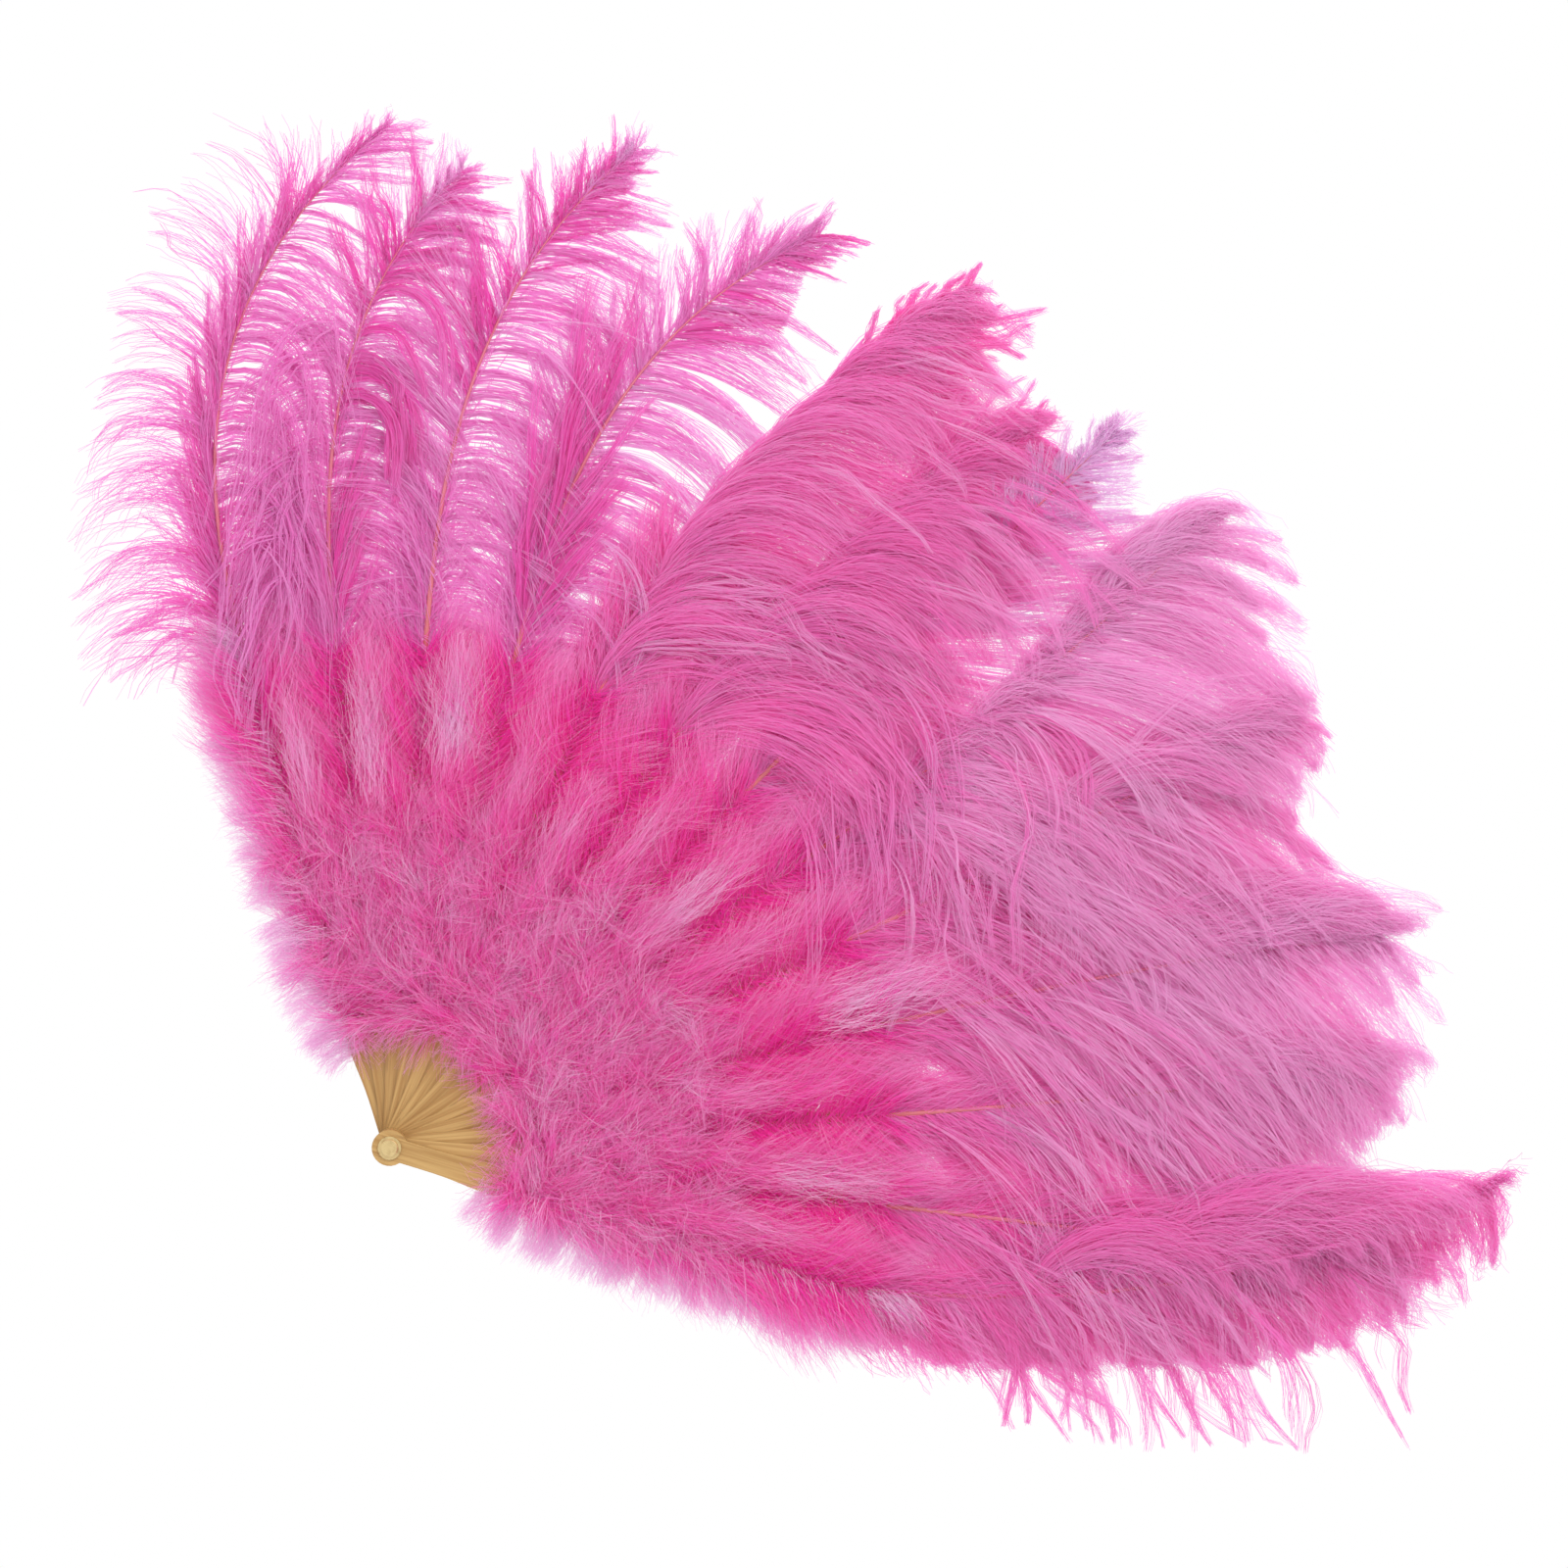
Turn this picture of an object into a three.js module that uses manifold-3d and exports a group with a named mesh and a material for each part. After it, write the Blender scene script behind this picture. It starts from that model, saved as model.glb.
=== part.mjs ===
// A large folding feather fan. Bamboo staves turn on one rivet, and each one carries marabou fluff and
// an ostrich plume on a quill that sits in the stave's forked tip.
// Millimetres. The rivet's centre is the origin, the fan stands in the XZ plane and its front faces -Y.
// Every leaf (a stave with its quill, plume and marabou) keeps to its own layer along Y, so that the
// leaves pass each other freely as the fan folds.
import * as THREE from "three";
import { mergeVertices } from "three/addons/utils/BufferGeometryUtils.js";
import Module from "manifold-3d";

const wasm = await Module();
wasm.setup();

// The pose: the leaves spread evenly from the rear guard down to the front guard, in degrees above +X
const rearGuardAngle = 107;
const openAngle = 124;

// Layers along Y
const staveThickness = 1.8;
const guardThickness = 2.4;
const layerGap = 0.4;
const clearance = 0.3;
const cutOverrun = 2;

// The stave, seen from the front
const staveLength = 240;
const headRadius = 9.5;
const neckReach = 20;
const neckWidth = 12;
const shoulderReach = 62;
const shoulderWidth = 16;
const staveTipWidth = 7.4;
const forkDepth = 42;

// The rivet and its washers
const rivetRadius = 1.9;
const rivetHeadRadius = 4.6;
const rivetHeadHeight = 1.5;
const rivetTailRadius = 3.8;
const rivetTailHeight = 1.2;
const rivetChamfer = 0.5;
const washerRadius = 6.2;
const washerThickness = 0.8;

// The quill, a flattened tapering shaft
const quillThickness = 1;
const quillRootWidth = 3.2;
const quillTipWidth = 0.9;
const quillEndShare = 0.86;

// The marabou fluff along each stave
const marabouStart = 56;
const marabouEnd = 300;
const marabouHalfWidth = 37;
const marabouRootWidthShare = 0.42;
const marabouSwellShare = 0.32;
const marabouEndWidthShare = 0.92;

// The thick fluff on the outer face of each guard
const puffStart = 64;
const puffThickness = 20;
const puffRounding = 9;

// The plumes: how far each tip reaches, and how many degrees each one sweeps round the rivet
const plumeReach = 560;
const plumeHalfWidth = 68;
const plumeRootWidthShare = 0.5;
const plumeWidestShare = 0.46;
const plumeTipShare = 0.985;
const plumeSweeps = [-16.7, -10.7, -10.1, -11.1, -9.3, -7.5, -0.4, 3.1, 2.3, -2.2, 1.2, -0.2, 15.7];
const plumeReachShares = [0.97, 0.93, 0.975, 0.954, 0.98, 0.92, 0.966, 1, 0.975, 1, 0.979, 1.01, 1.06];

// The sweep grows as a power of the way along a plume. The first plumes stay straight for longer.
const sweepPower = 1.7;
const straightSweepPower = 2.8;
const straightPlumes = 4;

// How finely the outlines are drawn
const spineSteps = 11;
const curveSteps = 10;
const rivetSides = 24;
const puffRoundingSteps = 3;

const finishes = {
  bamboo: { color: 0xc9a05c, roughness: 0.55, metalness: 0 },
  quill: { color: 0xc98a72, roughness: 0.5, metalness: 0 },
  plume: { color: 0xe661b0, roughness: 0.9, metalness: 0 },
  marabou: { color: 0xe9459f, roughness: 1, metalness: 0 },
  brass: { color: 0xc9b27a, roughness: 0.35, metalness: 1 },
};

const leafCount = plumeSweeps.length;
const lastLeaf = leafCount - 1;
const staveHoleRadius = rivetRadius + clearance;

function leafName(index) {
  if (index === 0) return "rear";
  if (index === lastLeaf) return "front";
  return String(index).padStart(2, "0");
}

// The middle of a leaf's layer, with the rear guard at the most positive Y
function layerMiddle(index) {
  const stepsBack = lastLeaf / 2 - index;
  const inner = stepsBack * (staveThickness + layerGap);
  const isGuard = index === 0 || index === lastLeaf;
  return isGuard ? inner + (Math.sign(stepsBack) * (guardThickness - staveThickness)) / 2 : inner;
}

function makeLeaf(index) {
  const isGuard = index === 0 || index === lastLeaf;
  return {
    index,
    name: leafName(index),
    isGuard,
    thickness: isGuard ? guardThickness : staveThickness,
    middle: layerMiddle(index),
    angle: rearGuardAngle - (openAngle * index) / lastLeaf,
    sweep: plumeSweeps[index],
    sweepPower: index < straightPlumes ? straightSweepPower : sweepPower,
    tipReach: plumeReach * plumeReachShares[index],
  };
}

const leaves = plumeSweeps.map((sweep, index) => makeLeaf(index));
const stackHalf = leaves[0].middle + guardThickness / 2;

// A closed geometry with shared corners, as a solid that can be cut
function toSolid(geometry) {
  const bare = geometry.clone();
  bare.deleteAttribute("normal");
  bare.deleteAttribute("uv");
  const merged = mergeVertices(bare);
  return new wasm.Manifold(
    new wasm.Mesh({
      numProp: 3,
      vertProperties: new Float32Array(merged.attributes.position.array),
      triVerts: new Uint32Array(merged.index.array),
    }),
  );
}

function toGeometry(solid) {
  const mesh = solid.getMesh();
  const geometry = new THREE.BufferGeometry();
  geometry.setAttribute("position", new THREE.BufferAttribute(mesh.vertProperties, 3));
  geometry.setIndex(new THREE.BufferAttribute(mesh.triVerts, 1));
  geometry.computeVertexNormals();
  return geometry;
}

// A shape drawn along X and across Z becomes a plate whose faces look along Y, from yLow to yHigh
function plate(shape, yLow, yHigh) {
  const depth = yHigh - yLow;
  const settings = { depth, bevelEnabled: false, curveSegments: curveSteps };
  const geometry = new THREE.ExtrudeGeometry(shape, settings);
  geometry.rotateX(Math.PI / 2);
  geometry.translate(0, yHigh, 0);
  return geometry;
}

// A point on the leaf's middle line: straight along the stave, then sweeping round the rivet
function spinePoint(leaf, reach) {
  const share = Math.max(0, (reach - staveLength) / (leaf.tipReach - staveLength));
  const turn = THREE.MathUtils.degToRad(leaf.sweep * share ** leaf.sweepPower);
  return new THREE.Vector2(reach * Math.cos(turn), reach * Math.sin(turn));
}

function acrossSpine(leaf, reach) {
  const along = spinePoint(leaf, reach + clearance).sub(spinePoint(leaf, reach - clearance)).normalize();
  return new THREE.Vector2(-along.y, along.x);
}

// A band along the leaf's middle line, as wide each way as halfWidthAt gives for each share of its length
function bandShape(leaf, fromReach, toReach, halfWidthAt, shareAt = (share) => share) {
  const left = [];
  const right = [];
  for (let i = 0; i <= spineSteps; i += 1) {
    const share = shareAt(i / spineSteps);
    const reach = THREE.MathUtils.lerp(fromReach, toReach, share);
    const side = acrossSpine(leaf, reach).multiplyScalar(halfWidthAt(share));
    const middle = spinePoint(leaf, reach);
    left.unshift(middle.clone().add(side));
    right.push(middle.clone().sub(side));
  }
  return new THREE.Shape([...right, ...left]);
}

// The stave's outline with a round head, a neck, a shoulder and a long taper, grown by a margin all round
function staveShape(margin, forkHalf) {
  const neckHalf = neckWidth / 2 + margin;
  const shoulderHalf = shoulderWidth / 2 + margin;
  const tipHalf = staveTipWidth / 2 + margin;
  const end = staveLength + margin;
  const radius = headRadius + margin;
  const headEdge = Math.asin(neckHalf / radius);
  const waist = (neckReach + shoulderReach) / 2;
  const shape = new THREE.Shape();
  shape.absarc(0, 0, radius, headEdge, 2 * Math.PI - headEdge, false);
  shape.lineTo(neckReach, -neckHalf);
  shape.bezierCurveTo(waist, -neckHalf, waist, -shoulderHalf, shoulderReach, -shoulderHalf);
  shape.lineTo(end, -tipHalf);
  if (forkHalf) {
    shape.lineTo(end, -forkHalf);
    shape.lineTo(staveLength - forkDepth, -forkHalf);
    shape.lineTo(staveLength - forkDepth, forkHalf);
    shape.lineTo(end, forkHalf);
  }
  shape.lineTo(end, tipHalf);
  shape.lineTo(shoulderReach, shoulderHalf);
  shape.bezierCurveTo(waist, shoulderHalf, waist, neckHalf, neckReach, neckHalf);
  return shape;
}

function staveGeometry(leaf) {
  const shape = staveShape(0, quillRootWidth / 2 + clearance);
  const hole = new THREE.Path();
  hole.absarc(0, 0, staveHoleRadius, 0, 2 * Math.PI, true);
  shape.holes.push(hole);
  return plate(shape, -leaf.thickness / 2, leaf.thickness / 2);
}

// The quill's outline from the fork's bottom to near the plume's tip, grown all round by a margin
function quillShape(leaf, margin) {
  const start = staveLength - forkDepth + clearance - margin;
  const end = THREE.MathUtils.lerp(marabouEnd, leaf.tipReach, quillEndShare) + margin;
  const halfWidthAt = (share) => THREE.MathUtils.lerp(quillRootWidth, quillTipWidth, share) / 2 + margin;
  return bandShape(leaf, start, end, halfWidthAt);
}

// The quill lies at the back of its layer, and the feather's soft parts close over it in front
function quillGeometry(leaf) {
  const back = leaf.thickness / 2;
  return plate(quillShape(leaf, 0), back - quillThickness, back);
}

function quillRoom(leaf) {
  const back = leaf.thickness / 2;
  return toSolid(plate(quillShape(leaf, clearance), back - quillThickness - clearance, back + cutOverrun));
}

function marabouHalfWidthAt(share) {
  if (share < marabouSwellShare) {
    const swell = Math.sin((Math.PI / 2) * (share / marabouSwellShare));
    return marabouHalfWidth * THREE.MathUtils.lerp(marabouRootWidthShare, 1, swell);
  }
  const fall = ((share - marabouSwellShare) / (1 - marabouSwellShare)) ** 2;
  return marabouHalfWidth * THREE.MathUtils.lerp(1, marabouEndWidthShare, fall);
}

// The marabou lies on both sides of the stave and closes over the quill beyond the stave's tip
function marabouGeometry(leaf) {
  const half = leaf.thickness / 2;
  const band = toSolid(plate(bandShape(leaf, marabouStart, marabouEnd, marabouHalfWidthAt), -half, half));
  const staveRoom = toSolid(plate(staveShape(clearance, 0), -half - cutOverrun, half + cutOverrun));
  return toGeometry(band.subtract(staveRoom).subtract(quillRoom(leaf)));
}

function plumeHalfWidthAt(share) {
  if (share < plumeWidestShare) {
    const swell = Math.sin((Math.PI / 2) * (share / plumeWidestShare));
    return plumeHalfWidth * THREE.MathUtils.lerp(plumeRootWidthShare, 1, swell);
  }
  const fall = (plumeTipShare * (share - plumeWidestShare)) / (1 - plumeWidestShare);
  return plumeHalfWidth * Math.sqrt(1 - fall ** 2);
}

// The plume's steps grow closer towards its round tip
function plumeGeometry(leaf) {
  const half = leaf.thickness / 2;
  const closerToTip = (share) => Math.sin((Math.PI / 2) * share);
  const outline = bandShape(leaf, marabouEnd + clearance, leaf.tipReach, plumeHalfWidthAt, closerToTip);
  return toGeometry(toSolid(plate(outline, -half, half)).subtract(quillRoom(leaf)));
}

// A pillow of fluff over the outer face of a guard, on the side that yOutward names
function puffGeometry(leaf, yOutward) {
  const face = leaf.thickness / 2 + clearance;
  const outline = bandShape(leaf, puffStart, marabouEnd, marabouHalfWidthAt);
  const geometry = new THREE.ExtrudeGeometry(outline, {
    depth: puffThickness - 2 * puffRounding,
    bevelThickness: puffRounding,
    bevelSize: puffRounding,
    bevelOffset: -puffRounding,
    bevelSegments: puffRoundingSteps,
  });
  geometry.rotateX(Math.PI / 2);
  geometry.translate(0, yOutward * (face + puffThickness / 2) + puffThickness / 2 - puffRounding, 0);
  return geometry;
}

// The rivet's flat head is in front, and its hammered tail behind
function rivetGeometry() {
  const seat = stackHalf + clearance + washerThickness + clearance;
  const profile = [
    [0, -seat - rivetHeadHeight],
    [rivetHeadRadius - rivetChamfer, -seat - rivetHeadHeight],
    [rivetHeadRadius, -seat - rivetHeadHeight + rivetChamfer],
    [rivetHeadRadius, -seat],
    [rivetRadius, -seat],
    [rivetRadius, seat],
    [rivetTailRadius, seat],
    [rivetTailRadius, seat + rivetTailHeight - rivetChamfer],
    [rivetTailRadius - rivetChamfer, seat + rivetTailHeight],
    [0, seat + rivetTailHeight],
  ];
  return new THREE.LatheGeometry(
    profile.map(([radius, y]) => new THREE.Vector2(radius, y)),
    rivetSides,
  );
}

function washerGeometry() {
  const ring = new THREE.Shape();
  ring.absarc(0, 0, washerRadius, 0, 2 * Math.PI, false);
  const hole = new THREE.Path();
  hole.absarc(0, 0, staveHoleRadius, 0, 2 * Math.PI, true);
  ring.holes.push(hole);
  return plate(ring, -washerThickness / 2, washerThickness / 2);
}

function makeMesh(name, geometry, finish) {
  const mesh = new THREE.Mesh(geometry, new THREE.MeshStandardMaterial(finish));
  mesh.name = name;
  return mesh;
}

function leafGroup(leaf) {
  const group = new THREE.Group();
  const staveName = leaf.isGuard ? `${leaf.name}_guard` : `stave_${leaf.name}`;
  group.add(makeMesh(staveName, staveGeometry(leaf), finishes.bamboo));
  group.add(makeMesh(`quill_${leaf.name}`, quillGeometry(leaf), finishes.quill));
  group.add(makeMesh(`marabou_${leaf.name}`, marabouGeometry(leaf), finishes.marabou));
  group.add(makeMesh(`plume_${leaf.name}`, plumeGeometry(leaf), finishes.plume));
  if (leaf.isGuard) {
    group.add(makeMesh(`puff_${leaf.name}`, puffGeometry(leaf, Math.sign(leaf.middle)), finishes.marabou));
  }
  group.position.y = leaf.middle;
  group.rotation.y = -THREE.MathUtils.degToRad(leaf.angle);
  return group;
}

// The rivet and a washer outside each guard
function rivetGroup() {
  const group = new THREE.Group();
  group.add(makeMesh("rivet", rivetGeometry(), finishes.brass));
  const washerMiddle = stackHalf + clearance + washerThickness / 2;
  for (const [name, side] of [["washer_rear", 1], ["washer_front", -1]]) {
    const washer = makeMesh(name, washerGeometry(), finishes.brass);
    washer.position.y = side * washerMiddle;
    group.add(washer);
  }
  return group;
}

const fan = new THREE.Group();
for (const leaf of leaves) {
  fan.add(leafGroup(leaf));
}
fan.add(rivetGroup());

export default fan;
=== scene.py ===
import math
import time

import bpy
import numpy as np
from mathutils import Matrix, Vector


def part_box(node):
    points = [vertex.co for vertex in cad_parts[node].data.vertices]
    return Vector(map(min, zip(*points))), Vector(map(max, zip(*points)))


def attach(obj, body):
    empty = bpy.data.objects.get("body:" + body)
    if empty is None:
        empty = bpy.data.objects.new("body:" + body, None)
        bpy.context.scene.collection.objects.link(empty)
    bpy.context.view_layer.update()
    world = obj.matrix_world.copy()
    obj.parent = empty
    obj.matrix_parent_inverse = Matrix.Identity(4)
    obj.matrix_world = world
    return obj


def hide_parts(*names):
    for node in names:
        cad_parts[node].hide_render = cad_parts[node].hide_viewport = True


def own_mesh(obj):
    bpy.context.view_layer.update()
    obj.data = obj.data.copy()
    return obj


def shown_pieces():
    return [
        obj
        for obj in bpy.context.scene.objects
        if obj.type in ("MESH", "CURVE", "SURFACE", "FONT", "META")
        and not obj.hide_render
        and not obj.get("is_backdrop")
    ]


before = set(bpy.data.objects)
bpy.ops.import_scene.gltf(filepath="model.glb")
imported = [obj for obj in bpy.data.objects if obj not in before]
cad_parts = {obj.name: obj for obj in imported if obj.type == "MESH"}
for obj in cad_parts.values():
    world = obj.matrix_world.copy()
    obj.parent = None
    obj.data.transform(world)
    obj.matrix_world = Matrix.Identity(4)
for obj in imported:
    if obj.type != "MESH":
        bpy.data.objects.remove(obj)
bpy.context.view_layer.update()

started = time.time()

# The fan's own sizes, in metres and degrees, as the solids have them
fanShape = {
    "leafCount": 13,
    "rearGuardAngle": 107.0,
    "openAngle": 124.0,
    "staveLength": 0.240,
    "forkDepth": 0.042,
    "plumeReach": 0.560,
}

# How far strands may go, in metres: lowest and highest corner, and the least share of it that one may use
strandRoom = {"low": (-0.175, -0.0455, -0.180), "high": (0.606, 0.0455, 0.570), "leastShare": 0.72}

# Strands past the outline of the plumes are shortened step by step
outlineTrim = {"steps": 16, "shorten": 0.94, "least": 0.003}

# How far the plumes reach in the open fan: degrees from +X towards +Z, mm from the rivet
plumeOutline = [
    (-40, 240), (-24, 272), (-21, 334), (-17, 408), (-13.7, 482), (-9, 566), (-4, 590), (-1.5, 600),
    (-1.1, 506), (-0.3, 502), (0.8, 544), (4, 550), (9, 558), (12, 566), (14, 558), (16, 541), (17.5, 514),
    (19, 514), (22.5, 533), (27, 553), (30, 556), (33, 566), (35.5, 568), (38, 560), (40.2, 528), (42, 537),
    (45, 545), (46.5, 528), (48.5, 522), (51, 541), (53, 554), (56, 556), (58.7, 542), (59.5, 520),
    (61, 462), (63, 404), (64, 450), (64.8, 537), (69.5, 540), (72, 520), (74.5, 488), (76.4, 552),
    (82, 537), (84, 488), (86, 528), (89, 551), (93, 545), (96, 558), (98.5, 546), (101.5, 553), (105, 518),
    (108, 478), (111.5, 440), (119, 378), (124, 310), (135, 270),
]

# How the barbs of a plume are made: strands in one barb, their width, fray, frizz and hairs in mm, how
# much barbs and whole tufts differ in shape and in tone, and how far strands tilt. Comb barbs stand apart,
# soft ones run together.
plumeCuts = {
    "comb": {"strands": 2, "width": (0.58, 0.22), "fray": 0.7, "frizz": 1.3, "hairs": 6, "hair": 2.2,
             "stir": 0.75, "tuftStir": 0.35, "toneStir": 0.9, "tilt": 0.5, "looseShare": 0.14},
    "soft": {"strands": 3, "width": (0.42, 0.20), "fray": 1.8, "frizz": 2.4, "hairs": 4, "hair": 2.4,
             "stir": 0.85, "tuftStir": 0.75, "toneStir": 0.62, "tilt": 0.3, "looseShare": 0.07},
}

# One row for each plume, from the rear guard to the front guard. End is the share of the plume where its
# shaft stops. Density and each side come as upper and lower. A side holds, from base to tip: leave (degrees
# from the shaft), fall (the way the barbs end up, degrees in the fan's plane), size (length in mm) and lift
# (sideways slope, minus is towards the front); then arc (under 1 bends early) and hug (share that stays
# along the shaft). Bunch is how strongly barbs hold together, comb how wide one bunch is in mm, hold how
# far the tips close up into tufts. What a row doesn't say is in plumeCommon.
plumeCommon = {"bend": 1.7, "end": 1.0, "cut": "soft", "dye": "rose", "comb": 2.4}
plumeRows = [
    {"sweep": -16.7, "bend": 2.5, "reach": 0.97, "start": (262, 262), "tone": (0.28, 0.42, 0.5),
     "cut": "comb", "dye": "mauve", "density": (1.7, 1.1), "bunch": 0.92, "comb": 4.4, "hold": 0.06,
     "upper": ((24, 26, 26, 24, 30), (226, 222, 206, 140, 78), (116, 108, 96, 68, 44),
               (-0.02, 0.0), 1.25, 0.66),
     "lower": ((54, 58, 52, 36), (-95, -94, -70, 6), (112, 118, 80, 30),
               (-0.08, -0.12, -0.05), 0.44, 0.03)},
    {"sweep": -10.7, "bend": 2.5, "reach": 0.93, "start": (262, 262), "tone": (0.38, 0.48, 0.52),
     "cut": "comb", "dye": "mauve", "density": (1.1, 1.6), "bunch": 0.86, "hold": 0.12,
     "upper": ((44, 46, 46, 40, 34), (263, 260, 248, 104, 76), (88, 92, 78, 46, 40),
               (-0.1, 0.0), 0.32, 0.1),
     "lower": ((48, 54, 48, 34), (-92, -82, -50, 16), (94, 94, 72, 34), (-0.02, -0.04, 0.0), 0.5, 0.1)},
    {"sweep": -10.1, "bend": 2.5, "reach": 0.975, "start": (272, 272), "tone": (0.46, 0.58, 0.48),
     "cut": "comb", "dye": "mauve", "density": (1.5, 1.25), "bunch": 0.86, "comb": 2.3, "hold": 0.1,
     "upper": ((48, 56, 44, 36), (215, 165, 104, 72), (50, 60, 62, 44), (0.02, 0.0), 0.6, 0.12),
     "lower": ((52, 60, 54, 34), (-84, -76, -50, 10), (96, 102, 80, 34), (0.04, 0.02, 0.0), 0.5, 0.03)},
    {"sweep": -11.1, "bend": 2.5, "reach": 0.954, "start": (262, 262), "tone": (0.46, 0.6, 0.46),
     "cut": "comb", "dye": "mauve", "density": (1.25, 1.35), "bunch": 0.84, "hold": 0.1,
     "upper": ((38, 44, 44, 34), (150, 118, 86, 52), (66, 66, 58, 44), (0.02, 0.0), 1.1, 0.14),
     "lower": ((46, 54, 50, 36), (-78, -66, -44, 0), (102, 108, 92, 48), (0.05, 0.08, 0.05), 0.62, 0.02)},
    {"sweep": -9.3, "reach": 0.97, "start": (256, 256), "tone": (0.42, 0.48, 0.54), "density": (1.8, 1.9),
     "bunch": 0.22, "hold": 0.8,
     "upper": ((16, 12, 12, 22), (-42, -46, -46, -10), (118, 118, 92, 40), (-0.1, -0.16, -0.08), 0.8, 0.0),
     "lower": ((32, 34, 46, 58, 52), (-54, -52, -42, -40, -16), (135, 136, 130, 92, 56),
               (0.03, 0.02), 0.9, 0.0)},
    {"sweep": -7.5, "reach": 0.92, "end": 0.99, "start": (256, 256), "tone": (0.42, 0.4, 0.42),
     "density": (1.9, 1.7), "bunch": 0.22, "hold": 0.86,
     "upper": ((14, 12, 18, 32, 50), (-40, -42, -36, -20, 0), (118, 108, 92, 70, 46),
               (-0.06, -0.08, 0.0), 0.95, 0.0),
     "lower": ((28, 34, 50, 62, 60), (-62, -56, -50, -56, -46), (140, 130, 104, 72, 50),
               (-0.06, -0.16, -0.06), 0.9, 0.0)},
    {"sweep": -0.4, "reach": 0.966, "start": (262, 262), "tone": (0.44, 0.48, 0.54, 0.66, 0.92, 0.96),
     "cut": "comb", "dye": "lilac", "density": (1.5, 1.35), "bunch": 0.8, "comb": 2.2, "hold": 0.1,
     "upper": ((40, 40, 42, 46, 45), (-30, -10, 50, 78, 80), (80, 50, 30, 36, 30),
               (-0.04, -0.1, -0.1), 1.0, 0.0),
     "lower": ((40, 44, 42, 40, 42), (-62, -45, -14, 4, 6, 12), (96, 100, 104, 98, 52, 30),
               (-0.04, -0.1, -0.05), 0.85, 0.0)},
    {"sweep": 3.1, "reach": 1.0, "end": 0.96, "start": (296, 256), "tone": (0.6, 0.8, 0.9),
     "density": (2.0, 2.7), "bunch": 0.18, "hold": 0.86,
     "upper": ((26, 26, 40, 52, 24), (-34, -30, -16, -8, -6), (64, 54, 62, 104, 72),
               (0.0, -0.06), 1.15, 0.0),
     "lower": ((34, 36, 44, 44, 34), (-72, -60, -46, -38, -34), (140, 150, 152, 130, 104),
               (0.0, 0.0), 0.95, 0.0)},
    {"sweep": 2.3, "reach": 0.975, "end": 0.95, "start": (320, 256), "tone": (0.5, 0.68, 0.82),
     "density": (1.5, 2.5), "bunch": 0.18, "hold": 0.86,
     "upper": ((38, 40, 40, 32), (-30, -38, -34, -22), (108, 116, 104, 78), (0.04, -0.08, -0.06), 1.1, 0.0),
     "lower": ((30, 36, 46, 48, 40), (-74, -64, -52, -52, -54), (140, 146, 146, 128, 106),
               (0.06, 0.0), 0.95, 0.0)},
    {"sweep": -2.2, "reach": 1.0, "end": 0.955, "start": (330, 256), "tone": (0.52, 0.76, 0.92),
     "density": (1.8, 2.5), "bunch": 0.18, "hold": 0.86,
     "upper": ((44, 46, 46, 36), (-30, -40, -36, -26), (108, 130, 118, 82), (0.04, -0.08, -0.06), 1.2, 0.0),
     "lower": ((30, 34, 42, 44, 38), (-72, -64, -54, -54, -60), (140, 146, 150, 136, 104),
               (0.06, 0.0), 0.95, 0.0)},
    {"sweep": 1.2, "reach": 0.979, "end": 0.95, "start": (330, 256), "tone": (0.48, 0.68, 0.88),
     "density": (1.4, 2.3), "bunch": 0.18, "hold": 0.86,
     "upper": ((42, 42, 42, 36), (-40, -50, -46, -36), (104, 118, 104, 76), (0.04, -0.06, -0.06), 1.1, 0.0),
     "lower": ((30, 34, 42, 46, 42), (-68, -64, -56, -60, -66), (136, 140, 138, 116, 92),
               (0.06, 0.0), 0.95, 0.0)},
    {"sweep": -0.2, "reach": 1.01, "end": 0.94, "start": (336, 256), "tone": (0.44, 0.56, 0.64),
     "density": (1.4, 2.0), "bunch": 0.2, "hold": 0.84,
     "upper": ((40, 38, 38, 34), (-44, -54, -54, -46), (104, 114, 96, 68), (0.04, -0.04, -0.02), 1.1, 0.0),
     "lower": ((30, 30, 36, 44, 46), (-58, -66, -72, -78, -80), (132, 130, 112, 90, 66),
               (0.1, 0.05), 0.95, 0.0)},
    {"sweep": 15.7, "bend": 1.15, "reach": 1.06, "end": 0.985, "start": (300, 252),
     "tone": (0.42, 0.46, 0.5), "density": (2.6, 2.2), "bunch": 0.2, "hold": 0.8,
     "upper": ((44, 62, 68, 54, 30), (-54, -58, -54, -44, -30), (110, 140, 138, 108, 60),
               (0.0, -0.12, -0.06), 1.05, 0.0),
     "lower": ((24, 34, 48, 62, 84), (-50, -56, -50, -52, -94), (84, 100, 104, 98, 76),
               (0.04, 0.0), 0.95, 0.0)},
]

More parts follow.
